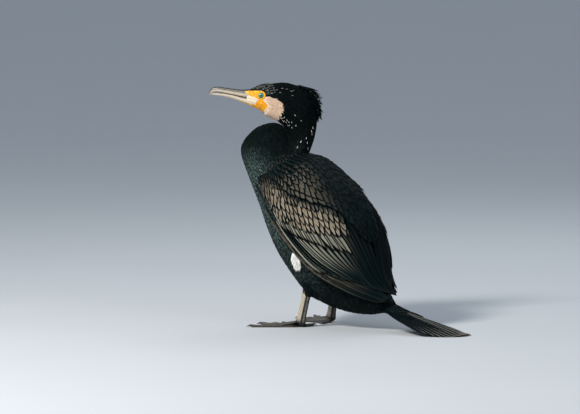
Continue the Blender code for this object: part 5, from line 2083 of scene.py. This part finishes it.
@dataclass
class Tail:
    """Fourteen stiff tail feathers in a low wedge, the middle pair on top."""

    vane: float = 0.0085
    root_side: tuple[float, float] = (0.003, 0.011)
    lowest: float = 0.00015  # height over the floor that no point goes under
    cut: Cut = Cut(
        top=(-1, -0.75, -0.4, -0.09, 0, 0.09, 0.4, 0.75, 1), under=(0.5, -0.5), sections=30, root=0.45,
        swell=0.45, taper=0.78, power=2.6, point=0.16, camber=0.07, quill=0.0005, thick=0.0004,
    )
    finish: FeatherFinish = FeatherFinish(
        "tail_feathers", deep=(0.0010, 0.0020, 0.0028), gloss=(0.0050, 0.0085, 0.0110), shaft=0.55,
        shaft_tone=0.85, shaft_colour=(0.260, 0.235, 0.190), roughness=0.55, soft_margin=0.5,
    )

    def build(self) -> None:
        """Makes the tail and puts it in the scene."""
        share = self.cut.shares()
        half = TAIL_FEATHERS // 2
        paths, leans = [], []
        for index in [i for i in range(-half, half + 1) if i]:
            pair, side = abs(index) - 1, 1 if index > 0 else -1
            part = pair / (half - 1)
            turn = side * (0.015 + TAIL_SPREAD * part)
            length = TAIL_LENGTH * (1 - TAIL_WEDGE * part**1.5)
            root = TAIL_ROOT + LEFT * side * (self.root_side[0] + self.root_side[1] * part)
            path = root + np.array((math.sin(turn), math.cos(turn), 0)) * length * share[:, None]
            layer = TAIL_LAYER * (TAIL_FLOOR_PAIR - pair)
            path[:, 2] = np.maximum(tail_line(length * share) + layer, TAIL_FLOOR)
            paths.append(path)
            leans.append(-0.05 * side)
        count = len(paths)
        path = np.array(paths)
        normal = np.broadcast_to(UP, path.shape)
        draw = np.random.default_rng(SEED + 9)
        wide, lean, tint = np.full(count, self.vane), np.array(leans), plain_tint(count, 0.5)
        shape = self.cut.build(path, normal, wide, lean, tint, draw.random(count))
        shape.points[:, 2] = np.maximum(shape.points[:, 2], self.lowest)
        place = np.stack([(np.arange(count) + 0.5) / count, np.full(count, 0.5)], axis=1)
        shape.patch = self.cut.patches(place, 0.9 / count)
        put("tail_feathers", shape.mesh("tail_feathers"), self.finish, Slot.TAIL, "tail")


# ---- bill and eyes


@dataclass(frozen=True)
class HornFinish(Finish):
    """The bill's horn: a black ridge over pale, mottled sides, yellow where the skin meets it, with painted
    shade in the furrow and along the mouth.
    """

    name: str
    ridge: Colour = (0.012, 0.013, 0.014)
    side: Colour = (0.330, 0.300, 0.240)
    mottle: Colour = (0.085, 0.082, 0.080)
    edge: Colour = (0.580, 0.470, 0.350)
    yolk: Colour = (0.780, 0.390, 0.012)
    painted_mouth_shade: Colour = (0.020, 0.014, 0.012)
    ridge_end: float = 0.27  # of the half turn from the top
    mottled: tuple[float, float] = (0.62, 0.46)  # where the mottling has gone, and where it is full
    blush: tuple[float, float] = (0.46, 0.58)  # where the pinkish edge comes
    mouth: tuple[float, float] = (0.78, 0.86)  # where the painted shade of the mouth's gap comes

    def material(self) -> Material:
        """The finish as a material.

        Returns:
            The material, which reads horn and yolk.
        """
        g = Graph(self.name)
        turn, _, groove = g.values("horn")
        drawn_out = g.node("Mapping", {"Vector": g.place(), "Scale": (1.0, 1.0, 3.2)}).outputs[0]
        pattern = {"Vector": drawn_out, "Scale": 330.0, "Detail": 5.0, "Roughness": 0.62}
        streak = g.node("TexNoise", pattern).outputs[0]
        ragged = g.plus(turn, g.times(g.less(streak, 0.5), 0.22))
        ridge = g.step(ragged, self.ridge_end + 0.05, self.ridge_end - 0.04)
        mottle = g.times(g.step(streak, 0.40, 0.60), g.step(turn, *self.mottled))
        colour = g.mix(g.times(mottle, 0.85), self.side, self.mottle)
        colour = g.mix(g.step(turn, *self.blush), colour, self.edge)
        # Painted shade under the upper half, along the gap of the mouth.
        colour = g.mix(g.step(turn, *self.mouth), colour, self.painted_mouth_shade)
        colour = g.mix(g.times(ridge, 0.96), colour, self.ridge)
        # The furrow is darkened by its depth: painted shade.
        colour = g.mix(g.times(groove, 0.92), colour, self.ridge)
        colour = g.mix(g.value("yolk"), colour, self.yolk)
        colour = g.scaled(colour, g.plus(0.72, g.times(streak, 0.5)))
        height = g.plus(g.times(streak, 0.8), g.times(g.noise(1800), 0.3))
        g.bump(height, 0.00018, 0.7)
        g.set(Base_Color=colour, Roughness=g.plus(0.36, g.times(streak, 0.22)))
        g.set(Coat_Weight=0.06, Coat_Roughness=0.25, Specular_IOR_Level=0.35)
        return g.made


@dataclass
class Bill:
    """Both halves of the hooked bill, a little open."""

    around: int = 56
    along: int = 130
    front: float = -0.2283  # where the bill ends
    tuck: float = 0.0017  # how far its base draws in under the skin
    furrow: tuple[float, float] = (0.9, 4.25)
    furrow_turn: float = math.radians(67.5)
    furrow_depth: float = 0.00065

    def relief(self, station: Array, turn: Array) -> tuple[Array, Array]:
        """Heights over the upper half's form, and how deep in the furrow each point is.

        Args:
            station: place along the bill, in rows.
            turn: angle from the top, in radians.

        Returns:
            The heights, and the depth from 0 to 1.
        """
        off = (turn - self.furrow_turn) / 0.10
        run = smooth(self.furrow[0] - 0.2, self.furrow[0] + 0.2, station)
        run = run * smooth(self.furrow[1] + 0.3, self.furrow[1] - 0.2, station)
        groove = np.exp(-(off**2)) * run
        plate = 0.00014 * np.sin(station * 9 + turn * 2) * smooth(0, 1, station)
        nail = 0.00025 * smooth(4.6, 5.4, station) * smooth(7.4, 6.6, station) * np.exp(-((turn / 0.9) ** 2))
        return plate * 0.4 + nail - self.furrow_depth * groove, groove

    def half(self, lie: Lie, relief: bool) -> Shape:
        """One half of the bill.

        Args:
            lie: that half's form.
            relief: whether it has plates, a nail and furrows.

        Returns:
            The closed form, with its values.
        """
        station = np.linspace(0, len(lie.rows) - 1, self.along)[:, None]
        turn = np.linspace(-np.pi, np.pi, self.around, endpoint=False)[None]
        station, turn = np.broadcast_arrays(station, turn)
        from_top = np.pi - np.abs(turn)
        height, groove = self.relief(station, from_top) if relief else (np.zeros(turn.shape),) * 2
        points = lie.at(station, turn, height - self.tuck * smooth(0.34, 0.0, station))
        points[..., 1] = np.maximum(points[..., 1], self.front)
        if not relief:
            edge = smooth(0.35, 0.15, from_top / np.pi) * smooth(0.6, 1.5, station)
            points = points - UP * (edge * 0.0006 * np.cos(from_top * 2))[..., None]
        shape = Shape.tube(points).turned_out()
        horn = np.stack([from_top / np.pi, station, groove], axis=-1).reshape(-1, 3)
        ends = np.array([horn[: self.around].mean(axis=0), horn[-self.around:].mean(axis=0)])
        shape.values = {"horn": np.concatenate([horn, ends]), "yolk": Face.masks(shape.points)["yolk"]}
        return shape

    def build(self) -> None:
        """Makes both halves and puts them in the scene."""
        upper = self.half(UPPER_LIE, True)
        put("upper_bill", upper.mesh("upper_bill"), HornFinish("upper_horn"), Slot.HORN, "bill_upper")
        lower = self.half(LOWER_LIE, False)
        # The lower half's dark top, along the gap of the mouth, is painted shade.
        finish = HornFinish(
            "lower_horn", ridge=(0.020, 0.014, 0.012), side=(0.560, 0.500, 0.390),
            mottle=(0.300, 0.250, 0.190), edge=(0.620, 0.440, 0.330), ridge_end=0.24,
            mottled=(0.75, 0.35), blush=(0.62, 0.80), mouth=(1.2, 1.3),
        )
        put("lower_bill", lower.mesh("lower_bill"), finish, Slot.HORN, "bill_lower")


@dataclass(frozen=True)
class EyeFinish(Finish):
    """A wet eye: a black pupil in a teal iris with a dark rim."""

    name: str = "eye"
    pupil: Colour = (0.002, 0.003, 0.004)
    iris: Colour = (0.002, 0.120, 0.115)
    bright: Colour = (0.012, 0.250, 0.220)
    rim: Colour = (0.001, 0.012, 0.018)

    def material(self) -> Material:
        """The finish as a material.

        Returns:
            The material, which reads eye.
        """
        g = Graph(self.name)
        radius, angle, _ = g.values("eye")
        ray = g.noise(1100, 3, 0.6)
        iris = g.mix(g.step(g.plus(ray, g.times(radius, 0.08)), 0.55, 0.95), self.iris, self.bright)
        iris = g.mix(g.step(radius, 3.7, 4.4), iris, self.rim)
        edge = g.plus(radius, g.times(g.less(ray, 0.5), 0.25))
        colour = g.mix(g.step(edge, 1.15, 1.40), self.pupil, iris)
        spokes = g.math("SINE", g.times(angle, 60.0))
        g.bump(g.plus(ray, g.times(spokes, 0.2)), 0.00008, 0.5)
        g.set(Base_Color=colour, Roughness=g.plus(0.22, g.times(ray, 0.15)))
        g.set(Coat_Weight=1.0, Coat_Roughness=0.03, Specular_IOR_Level=0.6)
        return g.made


@dataclass
class Eyes:
    """The two eyeballs, with a low cornea over the iris."""

    ahead: float = 0.10  # how far the gaze leans to the bill
    cornea: float = 0.0004

    def build(self) -> None:
        """Makes both eyes and puts them in the scene."""
        for name, side in (("left_eye", 1), ("right_eye", -1)):
            axis = unit(HEAD.left * side + HEAD.ahead * self.ahead)
            first = unit(np.cross(axis, UP))
            second = np.cross(axis, first)
            polar = np.linspace(0.02, np.pi - 0.02, 56)[:, None]
            spin = np.linspace(0, 2 * np.pi, 64, endpoint=False)[None]
            polar, spin = np.broadcast_arrays(polar, spin)
            radius = EYE_RADIUS - 0.0001 + self.cornea * np.exp(-((polar / 0.45) ** 2)) * 0.6
            ring = first * np.cos(spin)[..., None] + second * np.sin(spin)[..., None]
            way = axis * np.cos(polar)[..., None] + ring * np.sin(polar)[..., None]
            middle = HEAD.eye + HEAD.left * side * EYE_OUT
            shape = Shape.tube(middle + way * radius[..., None]).turned_out()
            off = np.sin(np.minimum(polar, np.pi / 2)) * EYE_RADIUS / MM + (polar > np.pi / 2) * 6
            value = np.stack([off, spin, polar], axis=-1).reshape(-1, 3)
            value = np.concatenate([value, value[:1] * 0, value[-1:]])
            shape.values = {"eye": value}
            put(name, shape.mesh(name), EyeFinish(name), Slot.EYE, "eye_" + name.split("_")[0])


# ---- legs


@dataclass(frozen=True)
class LegFinish(Finish):
    """Scaly skin of the shanks and feet: small plates with dark joints, with painted light down the front and
    sides of the shanks.
    """

    name: str
    dark: Colour = (0.0075, 0.0080, 0.0085)
    # On the shanks, grey is painted light on the sides and pale a painted highlight down the front; the feet
    # take their own grey.
    grey: Colour = (0.165, 0.152, 0.125)
    pale: Colour = (0.460, 0.400, 0.300)
    plates: float = 900.0
    web: Colour = (0.020, 0.021, 0.022)

    def material(self) -> Material:
        """The finish as a material.

        Returns:
            The material, which reads leg.
        """
        g = Graph(self.name)
        pale, grey_tone_and_light, web = g.values("leg")
        cell = g.pebbles(self.plates, "DISTANCE_TO_EDGE")
        joint = g.step(cell, 0.10, 0.02)
        cloud = g.noise(400, 4, 0.6)
        # Grey on the shank's lit sides and the toes, dark elsewhere: painted light on the shanks.
        colour = g.mix(g.times(g.step(cloud, 0.25, 0.60), grey_tone_and_light), self.dark, self.grey)
        colour = g.mix(pale, colour, g.mix(g.times(g.step(cloud, 0.45, 0.70), 0.6), self.pale, self.grey))
        colour = g.mix(web, colour, g.scaled(self.web, g.plus(0.6, cloud)))
        colour = g.mix(g.times(joint, 0.40), colour, self.dark)
        height = g.plus(g.times(g.step(cell, 0.0, 0.22), 0.9), g.times(g.noise(2200), 0.25))
        g.bump(height, 0.00022, 0.8)
        g.set(Base_Color=colour, Roughness=g.plus(0.38, g.times(cloud, 0.2)))
        g.set(Coat_Weight=0.05, Coat_Roughness=0.35, Specular_IOR_Level=0.25)
        return g.made


@dataclass(frozen=True)
class ClawFinish(Finish):
    """Black horn of the claws, with fine growth lines."""

    name: str = "claw"
    dark: Colour = (0.009, 0.008, 0.008)
    light: Colour = (0.060, 0.050, 0.042)

    def material(self) -> Material:
        """The finish as a material.

        Returns:
            The material.
        """
        g = Graph(self.name)
        cloud = g.noise(700, 4, 0.6)
        colour = g.mix(g.step(cloud, 0.5, 0.8), self.dark, self.light)
        g.bump(g.plus(cloud, g.noise(2600)), 0.0001, 0.6)
        g.set(Base_Color=colour, Roughness=g.plus(0.22, g.times(cloud, 0.2)))
        g.set(Coat_Weight=0.3, Coat_Roughness=0.2, Specular_IOR_Level=0.5)
        return g.made


@dataclass(frozen=True)
class Toe:
    """A toe: its turn out from straight ahead, in degrees, and its sizes."""

    turn: float
    length: float
    width: float
    height: float
    claw: float
    joints: int


TOES = {
    "hind": Toe(-98, 0.030, 0.0070, 0.0062, 0.009, 1),
    "inner": Toe(-22, 0.050, 0.0076, 0.0066, 0.010, 2),
    "middle": Toe(8, 0.070, 0.0080, 0.0070, 0.012, 3),
    "outer": Toe(36, 0.080, 0.0076, 0.0066, 0.010, 4),
}


@dataclass
class Leg:
    """The bare shank, webbed foot and claws of one side."""

    side: int
    web_reach: float = 0.80
    web_height: float = 0.0022
    web_thickness: float = 0.0014
    ankle_radius: float = 0.0060
    ankle_sink: float = 0.0040
    instep: float = 0.0080  # how much higher the foot starts in front than behind
    ankle_reach: float = 0.45
    toe_rise: float = 0.0030
    toe_edge: float = 0.4
    toe_thins: float = 0.0024  # how much lower a toe is at its tip
    joint_swell: float = 0.12
    scute: float = 0.0026  # length of a toe's plates
    fullness: float = 1.10  # of the shank's skin over its solid

    @property
    def word(self) -> str:
        """The side's name."""
        return "left" if self.side > 0 else "right"

    def here(self, place: Array) -> Array:
        """A place of the left leg, on this side."""
        return place * np.array((self.side, 1, 1))

    def shank(self) -> Shape:
        """The shank, with a row of plates down its front and its heel under the feathers.

        Returns:
            The closed form, with its values.
        """
        heel, joint = self.here(TARSUS_HEEL), self.here(TARSUS_FOOT)
        way = unit(heel - joint)
        over = unit(np.cross(way, LEFT))
        share = np.linspace(-0.115, 1.0, 110)[:, None]
        turn = np.linspace(0, 2 * np.pi, 72, endpoint=False)[None]
        swell = (1 + 0.22 * (2 * np.clip(share, 0, 1) - 1) ** 4) / 2 * self.fullness
        swell = swell * np.sqrt(np.clip(1 - (np.clip(0.02 - share, 0, 1) / 0.15) ** 2, 0.05, 1))
        front = np.clip(-np.cos(turn), 0, 1) ** 2
        plate = 0.00016 * np.abs(np.sin(share * 46)) ** 0.5 * front
        net = 0.00008 * np.sin(share * 130 + 6 * np.sin(turn * 3)) * np.sin(turn * 16) * (1 - front)
        wide = SHANK_WIDTH * swell + plate + net
        deep = SHANK_DEPTH * swell + plate + net
        middle = joint + (heel - joint) * share[..., None]
        points = middle + LEFT * (wide * np.sin(turn))[..., None] + over * (deep * np.cos(turn))[..., None]
        shape = Shape.tube(points).turned_out()
        share, turn = np.broadcast_arrays(share, turn)
        away = np.abs(turn - np.pi)
        # Painted light: a pale highlight down the front and grey sides; the back keeps the dark colour of the
        # skin.
        pale = smooth(1.98, 1.78, away) * smooth(1.02, 0.8, share) * smooth(-0.02, 0.14, share)
        line = smooth(0.30, 0.14, np.abs(away - 2.05))
        grey_tone_and_light = smooth(2.95, 2.70, away) * smooth(-0.04, 0.10, share) * (1 - line)
        value = np.stack([pale * (1 - line), grey_tone_and_light, np.zeros(pale.shape)], axis=-1).reshape(-1, 3)
        shape.values = {"leg": np.concatenate([value, value[:1], value[-1:]])}
        return shape

    @property
    def root(self) -> Array:
        """The place on the floor that the toes start from."""
        return self.here(TARSUS_FOOT) * np.array((1, 1, 0))

    def toe_way(self, toe: Toe) -> Array:
        """The way that a toe points, along the floor."""
        turn = math.radians(toe.turn) * self.side
        return np.array((math.sin(turn), -math.cos(turn), 0))

    def toe_top(self, key: str, share: Array) -> Array:
        """Height of the top of a toe, with swellings at its joints and plates between.

        Args:
            key: the toe's name.
            share: places along it, from 0 at the root to 1 at the tip.

        Returns:
            A height for each place.
        """
        toe = TOES[key]
        swell = 1 + self.joint_swell * np.cos(toe.joints * 2 * np.pi * share)
        height = (toe.height - self.toe_thins * share) * swell
        plates = np.abs(np.sin(share * toe.length / self.scute * np.pi)) ** 0.6
        return height - 0.00022 * (1 - plates)

    def toe_line(self, key: str, offset: float, share: Array) -> Array:
        """A line forward along a toe, at a share of its half width.

        Args:
            key: the toe's name.
            offset: share of its half width, from -1 to 1.
            share: places along it, from 0 at the root to 1 at the tip.

        Returns:
            A point for each place.
        """
        toe = TOES[key]
        ahead = self.toe_way(toe)
        across = np.cross(ahead, UP) * -self.side
        half = toe.width / 2 - 0.0012 * share
        rise = self.toe_edge + (1 - self.toe_edge) * (1 - abs(offset) ** 3.2)
        height = self.toe_top(key, share) * rise + self.toe_rise * (1 - share) ** 4
        line = ahead * (toe.length * share)[:, None] + across * (half * offset)[:, None]
        return self.root + line + UP * height[:, None]

    def web_line(self, first: str, second: str, part: float, share: Array) -> Array:
        """A line forward over a web, at a part of the way from one toe to the next.

        Args:
            first: the one toe's name.
            second: the other toe's name.
            part: part of the way between them.
            share: places along it, from 0 at the root to 1 at the tip.

        Returns:
            A point for each place.
        """
        reach = 1 - (1 - self.web_reach) * (1 - (2 * part - 1) ** 2)
        near, far = self.toe_line(first, 1, share * reach), self.toe_line(second, -1, share * reach)
        line = near + (far - near) * part
        fold = 0.00035 * np.sin(part * np.pi * 5) * np.sin(np.pi * np.clip(share, 0, 1))
        edge = smooth(0.18, 0.0, min(part, 1 - part))
        flat = self.web_height + self.toe_rise * (1 - share) ** 4 + fold
        line[:, 2] = flat + (line[:, 2] - flat) * edge
        return line

    def foot(self) -> Shape:
        """The toes and the webs that join all four.

        Returns:
            The closed form, with its values.
        """
        share = np.linspace(0, 1, 70)
        keys = list(TOES)
        offsets = (-1, -0.92, -0.75, -0.5, -0.25, 0, 0.25, 0.5, 0.75, 0.92, 1)
        parts = (0.06, 0.14, 0.24, 0.36, 0.5, 0.64, 0.76, 0.86, 0.94)
        lines, webs, places = [], [], []
        for number, key in enumerate(keys):
            if number:
                for part in parts:
                    lines.append(self.web_line(keys[number - 1], key, part, share))
                    webs.append(1.0)
                    places.append(number - 1 + 0.12 + 0.76 * part)
            for offset in offsets:
                lines.append(self.toe_line(key, offset, share))
                webs.append(0.0)
                places.append(number + offset * 0.12)
        joint = self.here(TARSUS_FOOT)
        first, last = math.radians(TOES["hind"].turn) - 0.5, math.radians(TOES["outer"].turn) + 0.5
        turns = np.interp(places, (places[0], places[-1]), (first, last))
        top = []
        for turn, line in zip(turns, lines):
            out = np.array((self.side * math.sin(turn), -math.cos(turn), 0))
            start = joint + out * self.ankle_radius - UP * self.ankle_sink
            start = start + UP * self.instep * (0.5 + 0.5 * math.cos(turn)) ** 2
            blend = smooth(0, self.ankle_reach, share)[:, None]
            top.append(start + (line - start) * blend)
        top = np.array(top)
        bottom = top.copy()
        web = np.array(webs)[:, None] * np.ones(len(share))
        under_web = np.minimum(top[..., 2] * 0.35, self.web_height - self.web_thickness)
        bottom[..., 2] = np.where(web > 0.5, under_web, 0.0)
        bottom[..., 2] = np.maximum(bottom[..., 2], 0.0)
        rings = np.concatenate([top, bottom[:, ::-1]], axis=1)
        shape = Shape.tube(rings).turned_out()
        ridge = np.array([0.0 if w else 1.0 for w in webs])[:, None] * np.ones(len(share))
        side = np.stack([ridge * 0.10, ridge * 0.8, web], axis=-1)
        value = np.concatenate([side, side[:, ::-1]], axis=1).reshape(-1, 3)
        shape.values = {"leg": np.concatenate([value, value[:1], value[-1:]])}
        return shape

    def claw(self, key: str) -> Shape:
        """A curved claw that grows from the end of its toe.

        Args:
            key: the toe's name.

        Returns:
            The closed form.
        """
        toe = TOES[key]
        ahead = self.toe_way(toe)
        across = np.cross(ahead, UP)
        height = (toe.height - self.toe_thins) * (1 + self.joint_swell)
        share = np.linspace(-0.12, 1, 34)[:, None]
        spin = np.linspace(0, 2 * np.pi, 28, endpoint=False)[None]
        half = height * 0.42 * np.clip(1 - np.maximum(share, 0) ** 1.25, 0, 1) + 0.00022
        rise = height / 2 + 0.0010 * np.sin(np.pi * np.maximum(share, 0)) - 0.0016 * share * share
        middle = self.root + ahead * (toe.length + toe.claw * share)[..., None]
        middle = middle + UP * np.maximum(rise, half)[..., None]
        points = middle + across * (half * 0.8 * np.sin(spin))[..., None]
        points = points + UP * (half * np.cos(spin))[..., None]
        return Shape.tube(points).turned_out()

    def build(self) -> None:
        """Makes the leg's pieces and puts them in the scene."""
        word = self.word
        name = word + "_shank"
        put(name, self.shank().mesh(name), LegFinish(name), Slot.LEG, "tarsus_" + word)
        name = word + "_foot"
        finish = LegFinish(name, plates=700.0, grey=(0.036, 0.036, 0.034))
        put(name, self.foot().mesh(name), finish, Slot.FOOT, "foot_" + word)
        for key in TOES:
            name = "%s_claw_%s" % (word, key)
            put(name, self.claw(key).mesh(name), ClawFinish(name), Slot.CLAW, "claw_%s_%s" % (word, key))


# ---- studio


@dataclass(frozen=True)
class FloorFinish(Finish):
    """Matt pale board."""

    name: str = "floor"
    tone: Colour = (0.420, 0.440, 0.460)

    def material(self) -> Material:
        """The finish as a material.

        Returns:
            The material.
        """
        g = Graph(self.name)
        cloud = g.noise(3.0, 3)
        g.bump(g.noise(900, 3), 0.0002, 0.2)
        g.set(Base_Color=g.scaled(self.tone, g.plus(0.97, g.times(cloud, 0.06))))
        g.set(Roughness=g.plus(0.75, g.times(cloud, 0.1)))
        return g.made


@dataclass
class Studio:
    """Pale floor, soft lights and the camera."""

    azimuth: float = math.radians(125)
    elevation: float = math.radians(5)
    distance: float = 8.0
    frame_width: float = 0.957
    sensor: float = 36.0
    centre: tuple[float, float] = (-0.10065, 0.1987)
    aim: tuple[float, float, float] = (0, -0.03, 0.2)  # what the lights face
    backdrop: Colour = (0.62, 0.70, 0.80)
    ambient: float = 0.70

    def axes(self) -> tuple[Vector, Vector, Vector]:
        """Right, up and back of the camera.

        Returns:
            Three vectors of length one.
        """
        sin_a, cos_a = math.sin(self.azimuth), math.cos(self.azimuth)
        sin_e, cos_e = math.sin(self.elevation), math.cos(self.elevation)
        right = Vector((cos_a, sin_a, 0))
        back = Vector((sin_a * cos_e, -cos_a * cos_e, sin_e))
        return right, back.cross(right), back

    def camera(self) -> None:
        """Stands the camera at its viewpoint."""
        right, up, back = self.axes()
        data = bpy.data.cameras.new("camera")
        data.sensor_width = self.sensor
        data.lens = self.sensor * self.distance / self.frame_width
        data.clip_end = 60
        data.dof.use_dof = False
        camera = bpy.data.objects.new("camera", data)
        camera.location = right * self.centre[0] + up * self.centre[1] + back * self.distance
        turn = Matrix((right, up, back)).transposed()
        camera.rotation_euler = turn.to_euler()
        link(camera)
        bpy.context.scene.camera = camera

    def light(self, name: str, place: Vector, size: float, power: float, colour: Colour) -> None:
        """A soft square light that faces the bird.

        Args:
            name: its name.
            place: where it stands.
            size: length of its side.
            power: in watts.
            colour: red, green and blue.
        """
        data = bpy.data.lights.new(name, "AREA")
        data.size, data.energy, data.color = size, power, colour
        lamp = bpy.data.objects.new(name, data)
        lamp.location = place
        way = Vector(self.aim) - place
        lamp.rotation_euler = way.to_track_quat("-Z", "Y").to_euler()
        link(lamp)

    def build(self) -> None:
        """Makes the floor, the lights, the backdrop and the camera."""
        shape = bmesh.new()
        bmesh.ops.create_grid(shape, x_segments=12, y_segments=12, size=16)
        mesh = bpy.data.meshes.new("floor")
        shape.to_mesh(mesh)
        shape.free()
        floor = bpy.data.objects.new("floor", mesh)
        link(floor)
        mesh.materials.append(FloorFinish().material())
        world = bpy.data.worlds.new("studio")
        bpy.context.scene.world = world
        world.use_nodes = True
        sky = world.node_tree.nodes["Background"]
        sky.inputs["Color"].default_value = (*self.backdrop, 1)
        sky.inputs["Strength"].default_value = self.ambient
        bpy.context.scene.view_settings.view_transform = "Standard"
        right, _, back = self.axes()
        key = back * 1.5 - right * 1.7 + Vector((0, 0, 1.9))
        fill = back * 1.8 + right * 1.6 + Vector((0, 0, 0.9))
        rear = -back * 1.5 + right * 0.6 + Vector((0, 0, 1.8))
        self.light("key", key, 0.6, 110, (1.0, 0.97, 0.92))
        self.light("fill", fill, 1.4, 9, (0.92, 0.96, 1.0))
        self.light("rear", rear, 1.0, 9, (0.95, 0.98, 1.0))
        self.camera()


def main() -> None:
    """Builds the bird round its solids, piece by piece."""
    logging.basicConfig(level=logging.INFO, format="%(name)s: %(message)s")
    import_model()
    Studio().build()
    Plumage().build()
    Wing(1).build("left_wing_feathers", "wing_left")
    Wing(-1, drawn_in=0.6).build("right_wing_feathers", "wing_right")
    Tail().build()
    Bill().build()
    Eyes().build()
    for side in (1, -1):
        Leg(side).build()


if __name__ == "__main__":
    main()
